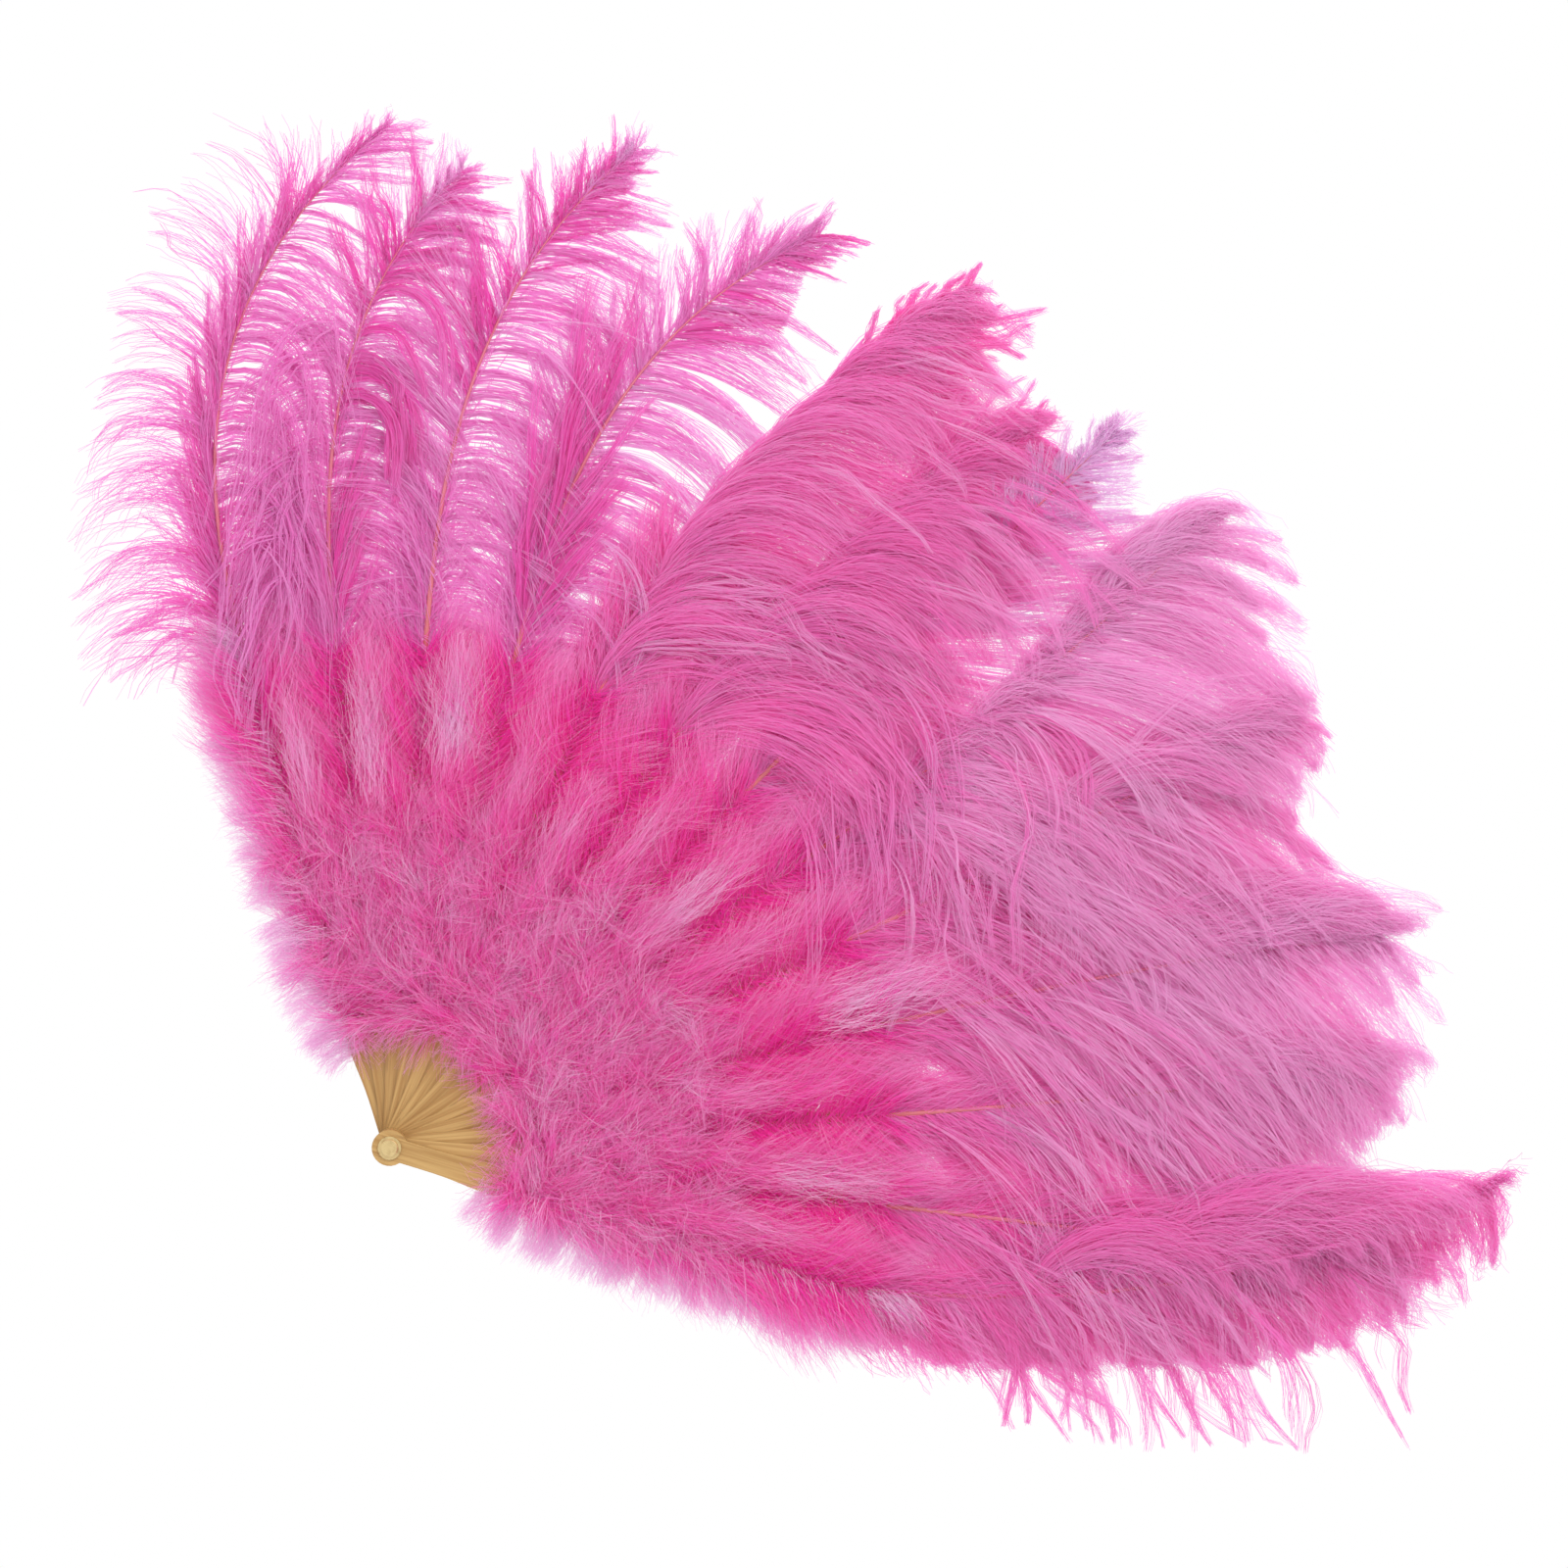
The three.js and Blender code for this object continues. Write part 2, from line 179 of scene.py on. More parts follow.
# Separate locks that show in the plumes: leaf, root places from and to (mm from the rivet), side, barbs,
# bunches, leave, fall, arc, length in mm, lift, tone, share of the outline they may reach, how far they
# close up, how far they stray (degrees), how far they curl (mm)
plumeLocks = [
    (0, 262, 322, 1, 64, 13, 46, 240, 1.25, 100, 0.02, 0.30, 1.0, 0.86, 9, 4.5),
    (0, 340, 392, 1, 46, 10, 40, 238, 1.25, 92, 0.0, 0.34, 1.0, 0.86, 12, 4.5),
    (0, 410, 500, 1, 40, 11, 36, 168, 1.1, 76, -0.02, 0.26, 1.03, 0.84, 16, 4.5),
    (0, 300, 500, -1, 80, 34, 62, -93, 0.34, 118, -0.16, 0.50, 1.0, 0.86, 6, 4.5),
    (0, 440, 530, 1, 150, 14, 14, 88, 1.2, 60, -0.02, 0.14, 1.02, 0.60, 9, 1.5),
    (1, 300, 440, 1, 90, 32, 54, 267, 0.32, 112, -0.18, 0.56, 1.0, 0.88, 6, 5.0),
    (1, 385, 455, -1, 210, 8, 44, -96, 0.46, 74, -0.20, 0.14, 1.0, 0.74, 6, 2.0),
    (1, 262, 330, -1, 150, 16, 26, 74, 1.0, 66, -0.06, 0.18, 1.0, 0.60, 8, 2.0),
    (1, 440, 500, 1, 150, 12, 36, 100, 0.9, 52, -0.04, 0.14, 1.02, 0.60, 9, 2.0),
    (1, 488, 521, 1, 46, 14, 34, 90, 1.0, 44, -0.07, 0.90, 1.03, 0.70, 15, 1.5),
    (1, 450, 518, -1, 150, 20, 44, -4, 1.1, 42, -0.05, 0.14, 1.02, 0.60, 12, 1.5),
    (2, 400, 530, 1, 330, 26, 34, 104, 1.2, 66, -0.04, 0.10, 1.0, 0.60, 14, 3.0),
    (2, 510, 546, 1, 44, 13, 36, 66, 1.0, 40, -0.07, 0.90, 1.03, 0.70, 15, 1.5),
    (2, 460, 538, -1, 150, 22, 46, 6, 1.1, 44, -0.04, 0.22, 1.0, 0.60, 12, 1.5),
    (3, 262, 390, 1, 260, 22, 20, 62, 1.1, 86, -0.10, 0.10, 1.0, 0.55, 8, 2.0),
    (3, 262, 350, -1, 150, 16, 16, 46, 1.0, 70, -0.08, 0.16, 1.0, 0.55, 8, 2.0),
    (3, 400, 510, 1, 150, 22, 46, 108, 1.2, 58, 0.0, 0.40, 1.0, 0.60, 11, 2.5),
    (3, 440, 534, -1, 210, 20, 38, -14, 0.8, 72, -0.04, 0.26, 1.02, 0.60, 10, 2.0),
    (3, 500, 534, 1, 110, 12, 32, 44, 1.0, 44, -0.06, 0.50, 1.02, 0.60, 9, 1.5),
    (4, 470, 541, 1, 110, 10, 16, 58, 1.0, 40, -0.04, 0.30, 1.04, 0.85, 12, 2.5),
    (4, 440, 541, -1, 210, 18, 26, -4, 0.9, 76, -0.04, 0.34, 1.04, 0.85, 14, 3.5),
    (4, 280, 520, -1, 110, 55, 36, -46, 0.9, 112, -0.24, 0.84, 1.0, 0.86, 14, 5.0),
    (5, 430, 508, 1, 120, 18, 44, 22, 0.9, 56, -0.05, 0.48, 1.0, 0.66, 16, 2.5),
    (5, 300, 470, -1, 150, 34, 34, -60, 0.9, 116, -0.20, 0.72, 1.0, 0.80, 14, 4.0),
    (6, 270, 360, -1, 180, 50, 46, -91, 0.30, 110, -0.22, 0.58, 1.0, 0.86, 9, 5.0),
    (7, 290, 400, -1, 170, 50, 40, -84, 0.38, 110, -0.20, 0.80, 1.0, 0.86, 10, 5.0),
    (8, 300, 520, -1, 120, 60, 40, -58, 0.9, 122, -0.22, 0.90, 1.0, 0.86, 13, 5.0),
    (9, 300, 540, -1, 120, 60, 40, -60, 0.9, 122, -0.22, 0.90, 1.0, 0.86, 13, 5.0),
    (10, 300, 530, -1, 110, 55, 40, -62, 0.9, 118, -0.22, 0.90, 1.0, 0.86, 13, 5.0),
    (11, 300, 540, -1, 110, 55, 36, -70, 0.9, 110, -0.22, 0.88, 1.0, 0.86, 13, 5.0),
    (12, 300, 560, -1, 100, 50, 50, -56, 0.9, 84, -0.20, 0.80, 1.0, 0.86, 13, 5.0),
    (12, 320, 500, -1, 150, 17, 50, -84, 1.5, 112, 0.0, 0.52, 1.36, 0.94, 22, 8.0),
    (12, 280, 420, -1, 110, 12, 50, -76, 1.5, 128, 0.03, 0.60, 1.36, 0.94, 22, 8.0),
]


def unit(vectors):
    return vectors / np.maximum(np.linalg.norm(vectors, axis=-1, keepdims=True), 1e-9)


def leafList():
    leaves = []
    last = fanShape["leafCount"] - 1
    for index, row in enumerate(plumeRows):
        label = "rear" if index == 0 else "front" if index == last else f"{index:02d}"
        stave = f"{label}_guard" if index in (0, last) else f"stave_{label}"
        low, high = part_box(stave)
        leaves.append({
            "index": index,
            "label": label,
            "stave": stave,
            "body": f"{label}_leaf" if index in (0, last) else f"leaf_{label}",
            "joint": "front_guard_turn" if index == last else f"stave_{max(index, 1):02d}_turn",
            "angle": fanShape["rearGuardAngle"] - fanShape["openAngle"] * index / last,
            "layer": (low.y + high.y) / 2,
            "thickness": high.y - low.y,
            "length": fanShape["plumeReach"] * row["reach"],
            **plumeCommon,
            **row,
        })
    return leaves


# A place on a leaf's middle line, at these distances from the rivet, in the fan's plane
def spineAt(leaf, reach):
    reach = np.asarray(reach, float)
    start = fanShape["staveLength"]
    share = np.maximum(0.0, (reach - start) / (leaf["length"] - start))
    turn = np.radians(leaf["angle"] + leaf["sweep"] * share ** leaf["bend"])
    return np.stack([reach * np.cos(turn), np.full_like(reach, leaf["layer"]), reach * np.sin(turn)], -1)


def spineHeading(leaf, reach):
    step = 0.0005
    return unit(spineAt(leaf, np.asarray(reach) + step) - spineAt(leaf, np.asarray(reach) - step))


# The same heading in degrees, in the fan's plane
def headingAt(leaf, reach):
    along = spineHeading(leaf, reach)
    return np.degrees(np.arctan2(along[:, 2], along[:, 0]))


# Roots beside a leaf's middle line, by these offsets towards its upper side
def rootsBeside(leaf, reach, offset):
    turn = np.radians(leaf["angle"])
    across = np.array([-math.sin(turn), 0.0, math.cos(turn)])
    return spineAt(leaf, reach) + across * offset[:, None]


# One random value for each clump, shared by all its strands
def perClump(amount, clump, rng, count=None):
    return rng.normal(0, amount, count or clump.max() + 1)[clump]


# Strands are points (strand, step, xyz). Each turns in the fan's plane from its start angle to its end
# angle, in degrees, and rises sideways by its lift, then settles. An arc under 1 turns early.
def growStrands(roots, startAngle, endAngle, arc, lengths, lift, steps):
    share = ((np.arange(steps) + 0.5) / steps)[None, :]
    arc = arc[:, None]
    turned = np.where(arc < 1, 1 - (1 - share) ** (1 / arc), share ** arc)
    turn = np.radians(startAngle[:, None] + (endAngle - startAngle)[:, None] * turned)
    rise = lift[:, None] * np.cos(share * math.pi * 0.72)
    ways = unit(np.stack([np.cos(turn), rise, np.sin(turn)], -1))
    moves = ways * (lengths / steps)[:, None, None]
    start = roots[:, None, :]
    return np.concatenate([start, start + np.cumsum(moves, axis=1)], axis=1)


# The same, with angles from the leaf's own and one arc for all
def growFromLeaf(leaf, roots, start, end, arc, lengths, lift, steps):
    angle, arcs = leaf["angle"], np.full(len(roots), arc)
    return growStrands(roots, angle + start, angle + end, arcs, lengths, lift, steps)


# Strands of one clump draw together away from their roots
def gather(points, clumps, strength, power):
    count = clumps.max() + 1
    sums = np.zeros((count,) + points.shape[1:])
    np.add.at(sums, clumps, points)
    sizes = np.bincount(clumps, minlength=count)[:, None, None]
    middle = (sums / np.maximum(sizes, 1))[clumps]
    share = np.linspace(0, 1, points.shape[1])
    hold = np.asarray(strength).reshape(-1, 1, 1) * (share ** power)[None, :, None]
    return points + (middle - points) * hold


# A slow wander across each strand, growing towards its tip
def frizz(points, amount, rng, waves=2.0):
    count, steps = points.shape[:2]
    share = np.linspace(0, 1, steps)[None, :, None]
    phase = rng.uniform(0, 2 * math.pi, (count, 1, 3))
    pace = rng.uniform(0.5, 1.5, (count, 1, 3)) * waves
    size = rng.normal(0, amount, (count, 1, 3))
    swing = share * (1 - 0.5 * share ** 3)
    return points + size * (np.sin(phase + pace * share * 2 * math.pi) - np.sin(phase)) * swing


# Strands that leave the room are drawn in towards their roots, each to its own share of the room
def keepInside(points, rng):
    share = rng.uniform(strandRoom["leastShare"], 1.0, (len(points), 1, 1))
    low, high = np.array(strandRoom["low"]) * share, np.array(strandRoom["high"]) * share
    root = points[:, :1, :]
    low, high = np.minimum(low, root - 0.01), np.maximum(high, root + 0.01)
    low, high = np.maximum(low, strandRoom["low"]), np.minimum(high, strandRoom["high"])
    far = points - root
    over = np.maximum(far / np.maximum(high - root, 1e-4), far / np.minimum(low - root, -1e-4))
    worst = np.maximum(over.max(axis=1, keepdims=True), 1.0)
    flat = np.maximum(worst[:, :, 0], worst[:, :, 2])
    scale = np.stack([1 / flat, 1 / worst[:, :, 1], 1 / flat], -1)
    return root + far * scale


# Strands that pass the plumes' outline are shortened; edge is each strand's share of the outline
def trimToOutline(points, edge):
    angles, reaches = np.array(plumeOutline).T
    root = points[:, :1, :]
    rootReach = np.hypot(root[:, :, 0], root[:, :, 2])
    least = rootReach + outlineTrim["least"]
    for _ in range(outlineTrim["steps"]):
        angle = np.degrees(np.arctan2(points[:, :, 2], points[:, :, 0]))
        limit = np.maximum(np.interp(angle, angles, reaches / 1000) * edge[:, None], least)
        outside = (np.hypot(points[:, :, 0], points[:, :, 2]) > limit).any(axis=1)
        shorter = root + (points - root) * outlineTrim["shorten"]
        points = np.where(outside[:, None, None], shorter, points)
    return points


# On the map a strand takes up a narrow band, at its own tone from 0 to 1
toneBand = {"half": 0.003, "low": 0.01, "high": 0.99}


def toneOnMap(tones):
    return np.clip(tones, toneBand["low"], toneBand["high"])


# Flat ribbons along strands: faces lie along "facing", tilted at random
def ribbons(points, widthRoot, widthTip, facing, tilt, tones, rng):
    count, steps = points.shape[:2]
    along = unit(np.gradient(points, axis=1))
    side = unit(np.cross(along, facing[:, None, :]))
    lift = np.cross(side, along)
    turn = rng.normal(0, tilt, (count, 1, 1))
    side = side * np.cos(turn) + lift * np.sin(turn)
    share = np.linspace(0, 1, steps)
    width = np.asarray(widthRoot).reshape(-1, 1, 1)
    width = (width + (widthTip - width) * share[None, :, None]) / 2
    corners = np.stack([points - side * width, points + side * width], axis=2)
    grid = np.arange(count * steps * 2).reshape(count, steps, 2)
    faces = np.stack([grid[:, :-1, 0], grid[:, :-1, 1], grid[:, 1:, 1], grid[:, 1:, 0]], axis=-1)
    across = np.array([-toneBand["half"], toneBand["half"]])
    u = np.broadcast_to(share[None, :, None], (count, steps, 2))
    v = toneOnMap(tones)[:, None, None] + across[None, None, :] + np.zeros((1, steps, 1))
    return corners.reshape(-1, 3), faces.reshape(-1, 4), np.stack([u, v], -1).reshape(-1, 2)


# Short hairs along strands, one triangle each
def hairs(points, perStrand, length, width, slant, tones, rng):
    count, steps = points.shape[:2]
    total = count * perStrand
    strand = np.repeat(np.arange(count), perStrand)
    share = rng.uniform(0.08, 0.99, total)
    place = share * (steps - 1)
    low = np.minimum(place.astype(int), steps - 2)
    part = (place - low)[:, None]
    start = points[strand, low]
    end = points[strand, low + 1]
    along = unit(end - start)
    root = start + (end - start) * part
    spin = unit(np.cross(along, rng.normal(0, 1, (total, 3))))
    lean = np.radians(rng.normal(slant, 9, total))[:, None]
    way = along * np.cos(lean) + spin * np.sin(lean)
    reach = (length * rng.uniform(0.6, 1.25, total) * (1 - 0.68 * share))[:, None]
    tip = root + way * reach
    half = along * width / 2
    corners = np.stack([root - half, root + half, tip], axis=1)
    faces = np.arange(total * 3).reshape(total, 3)
    tone = toneOnMap(tones)[strand]
    u = np.stack([share, share, np.minimum(share + 0.08, 1)], 1)
    v = np.stack([tone - toneBand["half"], tone + toneBand["half"], tone], 1)
    return corners.reshape(-1, 3), faces, np.stack([u, v], -1).reshape(-1, 2)


# One mesh from several groups of (corners, faces, map places)
def strandMesh(name, groups, material):
    corners, starts, loops, places = [], [], [], []
    cornerCount = loopCount = 0
    for points, faces, uv in groups:
        corners.append(points)
        sides = faces.shape[1]
        loops.append((faces + cornerCount).ravel())
        starts.append(loopCount + np.arange(len(faces)) * sides)
        places.append(uv[faces.ravel()])
        cornerCount += len(points)
        loopCount += faces.size
    corners = np.concatenate(corners).astype(np.float32)
    loops = np.concatenate(loops).astype(np.int32)
    starts = np.concatenate(starts).astype(np.int32)
    mesh = bpy.data.meshes.new(name)
    mesh.vertices.add(len(corners))
    mesh.vertices.foreach_set("co", corners.ravel())
    mesh.loops.add(len(loops))
    mesh.loops.foreach_set("vertex_index", loops)
    mesh.polygons.add(len(starts))
    mesh.polygons.foreach_set("loop_start", starts)
    mesh.update(calc_edges=True)
    mesh.polygons.foreach_set("use_smooth", np.ones(len(starts), bool))
    layer = mesh.uv_layers.new(name="OFBake")
    layer.uv.foreach_set("vector", np.concatenate(places).astype(np.float32).ravel())
    mesh.materials.append(material)
    piece = bpy.data.objects.new(name, mesh)
    bpy.context.scene.collection.objects.link(piece)
    return piece


# Materials

plumeDyes = {
    "rose": {"deep": (0.95, 0.110, 0.54, 1.0), "mid": (0.94, 0.290, 0.68, 1.0),
             "pale": (0.93, 0.560, 0.82, 1.0), "tip": (0.92, 0.500, 0.78, 1.0)},
    "mauve": {"deep": (0.92, 0.170, 0.62, 1.0), "mid": (0.90, 0.355, 0.73, 1.0),
              "pale": (0.90, 0.590, 0.83, 1.0), "tip": (0.89, 0.530, 0.79, 1.0)},
    "lilac": {"deep": (0.95, 0.110, 0.54, 1.0), "mid": (0.94, 0.310, 0.69, 1.0),
              "pale": (0.86, 0.600, 0.83, 1.0), "tip": (0.87, 0.520, 0.79, 1.0)},
}
fluffColours = {
    "deep": (0.97, 0.085, 0.58, 1.0),
    "mid": (0.96, 0.190, 0.62, 1.0),
    "pale": (0.95, 0.720, 0.90, 1.0),
    "tip": (0.94, 0.580, 0.83, 1.0),
}


# Inputs go by name or place: a socket is linked, a value is set
def feed(tree, node, inputs):
    for key, value in inputs.items():
        if isinstance(value, bpy.types.NodeSocket):
            tree.links.new(value, node.inputs[key])
        else:
            node.inputs[key].default_value = value


def addNode(tree, kind, place, inputs=None, **settings):
    node = tree.nodes.new(kind if kind.startswith("NodeGroup") else f"ShaderNode{kind}")
    node.location = place
    for key, value in settings.items():
        setattr(node, key, value)
    feed(tree, node, inputs or {})
    return node


def addNoise(tree, place, source, scale, detail):
    spread = addNode(tree, "VectorMath", place, {0: source, 1: scale}, operation="MULTIPLY")
    inputs = {"Vector": spread.outputs[0], "Scale": 1.0, "Detail": detail}
    return addNode(tree, "TexNoise", (place[0] + 180, place[1]), inputs).outputs["Fac"]


def addRange(tree, place, source, low, high, toLow=0.0, toHigh=1.0):
    inputs = {"Value": source, "From Min": low, "From Max": high, "To Min": toLow, "To Max": toHigh}
    return addNode(tree, "MapRange", place, inputs, interpolation_type="SMOOTHSTEP").outputs[0]


# Second laid over first by the factor. A colour mix has several inputs of one name, so the ones in use
# are found by their place.
def addMix(tree, place, factor, first, second):
    return addNode(tree, "Mix", place, {0: factor, 6: first, 7: second}, data_type="RGBA").outputs[2]


def addBump(tree, place, height, strength, distance):
    inputs = {"Height": height, "Strength": strength, "Distance": distance}
    return addNode(tree, "Bump", place, inputs).outputs["Normal"]


# A group with its named sockets, what it is given inside, and the node that takes its results
def newGroup(name, inputs, outputs):
    group = bpy.data.node_groups.new(name, "ShaderNodeTree")
    for way, sockets in (("INPUT", inputs), ("OUTPUT", outputs)):
        for label, kind in sockets.items():
            group.interface.new_socket(label, in_out=way, socket_type=f"NodeSocket{kind}")
    given = addNode(group, "NodeGroupInput", (-1100, 0))
    return group, given.outputs, addNode(group, "NodeGroupOutput", (900, 0))


def newMaterial(name):
    material = bpy.data.materials.new(name)
    material.use_nodes = True
    return material, material.node_tree, material.node_tree.nodes["Principled BSDF"]


# Colour from the strand map: across it the strand's own tone, along it root to tip
def makeStrandTint():
    sockets = {"deep": "Color", "mid": "Color", "pale": "Color", "tip": "Color", "tipShare": "Float"}
    group, given, result = newGroup("strandTint", sockets, {"colour": "Color"})
    strandMap = addNode(group, "UVMap", (-900, 300), uv_map="OFBake").outputs["UV"]
    along, tone = addNode(group, "SeparateXYZ", (-720, 300), {0: strandMap}).outputs[:2]
    low = addRange(group, (-500, 300), tone, 0.0, 0.5)
    high = addRange(group, (-500, 40), tone, 0.45, 1.0)
    inputs = {0: addRange(group, (-500, -220), along, 0.35, 1.0), 1: given["tipShare"]}
    ends = addNode(group, "Math", (-300, -220), inputs, operation="MULTIPLY").outputs[0]
    colour = given["deep"]
    for column, (share, label) in enumerate(((low, "mid"), (high, "pale"), (ends, "tip"))):
        colour = addMix(group, (-100 + 200 * column, 100), share, colour, given[label])
    mottle = addNoise(group, (-500, -480), strandMap, (9.0, 160.0, 1.0), 2.0)
    level = addNode(group, "MapRange", (-100, -480), {"Value": mottle, "To Min": 0.90, "To Max": 1.10})
    dyed = addNode(group, "HueSaturation", (680, 100), {"Saturation": level.outputs[0], "Color": colour})
    feed(group, result, {"colour": dyed.outputs["Color"]})
    return group


# Barbs are a soft surface that lets light through; glow is the share that goes through
def makeStrandMaterial(name, tint, colours, tipShare, glow, roughness):
    material, tree, surface = newMaterial(name)
    dye = addNode(tree, "Group", (-300, 0), {**colours, "tipShare": tipShare}, node_tree=tint)
    colour = dye.outputs["colour"]
    feed(tree, surface, {"Base Color": colour, "Roughness": roughness, "Specular IOR Level": 0.25})
    through = addNode(tree, "BsdfTranslucent", (0, -460), {"Color": colour})
    inputs = {0: glow, 1: surface.outputs["BSDF"], 2: through.outputs["BSDF"]}
    mix = addNode(tree, "MixShader", (400, 0), inputs)
    feed(tree, tree.nodes["Material Output"], {"Surface": mix.outputs["Shader"]})
    return material


# The ostrich plumes

plumeStyle = {
    "barbsEachSide": 560,
    "steps": 10,
    "liftSpread": (0.078, 0.091),  # of tufts and of locks
    "tuftWidth": 0.008,
    "lockWidth": 0.032,
    "edge": (0.950, 1.010),  # share of the outline that a tuft reaches
    "shortest": 0.012,
    "hugLeave": 11,
    "hugFall": 8,
    "hugLength": 0.62,
    "looseTurn": 20,
    "looseLift": 0.08,
    "lockFray": 0.45,  # the strands of a lock keep closer
    # front: painted light and shade, strands in front of their leaf are painted paler and strands behind it
    # darker
    "tones": {"hugging": -0.16, "loose": 0.14, "front": 0.12},
    "paintedLightDepth": 0.012,
    "hairWidth": 0.00020,
    "hairSlant": 32,
    "behindShaft": 0.0008,
    "brushBarbs": 44,
    "brushTufts": 8,
    "downBarbs": {"mauve": 260, "rose": 820, "lilac": 820},
    "downFrom": 0.238,
    "downSpan": 0.105,
    "downLength": 0.044,
}


# Values spread evenly along a plume, from its base to its tip
def alongPlume(values, share):
    return np.interp(share, np.linspace(0, 1, len(values)), values)


# Which clump each of these sorted places falls in, for clumps of about this width
def clumpsOf(places, width, rng):
    edges = places[0] + np.cumsum(rng.uniform(0.4, 1.6, int(np.ptp(places) / width * 1.6) + 2)) * width
    return np.searchsorted(edges, places)


def plumeSide(leaf, side, rng):
    style = plumeStyle
    cut = plumeCuts[leaf["cut"]]
    which = 0 if side > 0 else 1
    leave, fall, size, lift, arc, hug = leaf[("upper", "lower")[which]]
    count = int(style["barbsEachSide"] * leaf["density"][which])
    share = np.sort(rng.uniform(0, 1, count) ** 0.95)
    first = leaf["start"][which] / 1000
    reach = first + (leaf["length"] * leaf["end"] - first) * share
    roots = spineAt(leaf, reach) + np.array([0.0, style["behindShaft"], 0.0])
    heading = headingAt(leaf, reach)
    small = clumpsOf(reach, leaf["comb"] / 1000, rng)
    tuft = clumpsOf(reach, style["tuftWidth"], rng)
    lock = clumpsOf(reach, style["lockWidth"], rng)

    def vary(individual, bySmall, byTuft, byLock):
        alone = rng.normal(0, individual, count) + perClump(bySmall, small, rng)
        shared = perClump(byTuft, tuft, rng) + perClump(byLock, lock, rng)
        return cut["stir"] * alone + cut["tuftStir"] * shared

    leaveAngle = np.maximum(alongPlume(leave, share) + vary(6, 6, 4, 3), 4)
    fallAngle = alongPlume(fall, share) + vary(11, 10, 6, 5)
    hugging = rng.uniform(0, 1, count) < hug
    leaveAngle = np.where(hugging, style["hugLeave"] + vary(5, 3, 0, 0), leaveAngle)
    fallAngle = np.where(hugging, heading + side * style["hugFall"] + vary(8, 5, 3, 0), fallAngle)
    loose = rng.uniform(0, 1, small.max() + 1)[small] < cut["looseShare"]
    fallAngle = np.where(loose, fallAngle + perClump(style["looseTurn"], small, rng), fallAngle)
    lifts = alongPlume(lift, share) + vary(0.05, 0.05, *style["liftSpread"])
    lifts = np.where(loose, -np.abs(lifts) - style["looseLift"], lifts)
    lengths = alongPlume(size, share) / 1000 * (1 + vary(0.09, 0.06, 0.06, 0.03))
    lengths = np.maximum(lengths * np.where(hugging, style["hugLength"], 1.0), style["shortest"])
    arcs = np.clip(arc * (1 + vary(0.12, 0.08, 0.07, 0.04)), 0.25, 3)
    barbs = growStrands(roots, heading + side * leaveAngle, fallAngle, arcs, lengths, lifts, style["steps"])
    barbs = gather(barbs, small * 2 + hugging, np.where(loose, 0.2, leaf["bunch"]), 1.3)
    edge = rng.uniform(*style["edge"], tuft.max() + 1)[tuft]
    barbs = trimToOutline(barbs, edge + perClump(0.012, small, rng))
    barbs = gather(barbs, tuft * 2 + hugging, np.where(loose, 0.1, leaf["hold"]), 4.0)
    tones = alongPlume(leaf["tone"], share) + cut["toneStir"] * vary(0.09, 0.07, 0.05, 0.05)
    # Painted light and shade: paler for strands in front of the leaf's layer, darker for those behind it
    front = np.clip((leaf["layer"] - barbs[:, barbs.shape[1] // 2, 1]) / style["paintedLightDepth"], -1, 1)
    for label, amount in (("hugging", hugging), ("loose", loose), ("front", front)):
        tones = tones + style["tones"][label] * amount
    return barbs, tones


# A run of separate locks, from a row of plumeLocks
def lockRun(leaf, row, rng):
    style = plumeStyle
    low, high, side, count, bunches, leave, fall, arc, length, lift, tone, edge, close, stray, curl = row[1:]
    bunch = np.sort(rng.integers(0, bunches, count))
    places = np.sort(rng.uniform(low, high, bunches)) / 1000
    reach = np.sort(places[bunch] + rng.normal(0, 0.0020, count))
    roots = spineAt(leaf, reach)

    def vary(individual, byBunch):
        return rng.normal(0, individual, count) + perClump(byBunch, bunch, rng, bunches)

    barbs = growStrands(roots, headingAt(leaf, reach) + side * (leave + vary(4, 9)), fall + vary(5, stray),
                        np.clip(arc * (1 + vary(0.05, 0.12)), 0.25, 3),
                        length / 1000 * np.clip(1 + vary(0.10, 0.12), 0.4, 1.25),
                        lift + vary(0.02, 0.06), style["steps"])
    barbs = gather(barbs, bunch, close, 0.9)
    barbs = barbs + frizz(np.zeros((bunches,) + barbs.shape[1:]), curl / 1000, rng, 1.5)[bunch]
    barbs = trimToOutline(barbs, edge * (0.98 + perClump(0.02, bunch, rng, bunches)))
    return barbs, tone + vary(0.05, 0.08)


# Soft down where a plume leaves its stave
def plumeDown(leaf, rng):
    style = plumeStyle
    count = style["downBarbs"][leaf["dye"]]
    reach = np.sort(style["downFrom"] + style["downSpan"] * rng.uniform(0, 1, count) ** 1.3)
    roots = spineAt(leaf, reach)
    side = np.where(rng.uniform(0, 1, count) < 0.5, 1.0, -1.0)
    tuft = clumpsOf(reach, 0.006, rng) * 2 + (side > 0)
    start = side * (38 + rng.normal(0, 14, count))
    end = side * (16 + rng.normal(0, 16, count)) - 12
    lengths = np.clip(rng.normal(style["downLength"], 0.009, count), 0.015, 0.07)
    lifts = rng.normal(0.03, 0.14, count)
    barbs = growFromLeaf(leaf, roots, start, end, 0.95, lengths, lifts, style["steps"])
    barbs = gather(barbs, tuft, 0.30, 1.5)
    return barbs, leaf["tone"][0] + perClump(0.10, tuft, rng) + rng.normal(0, 0.10, count)


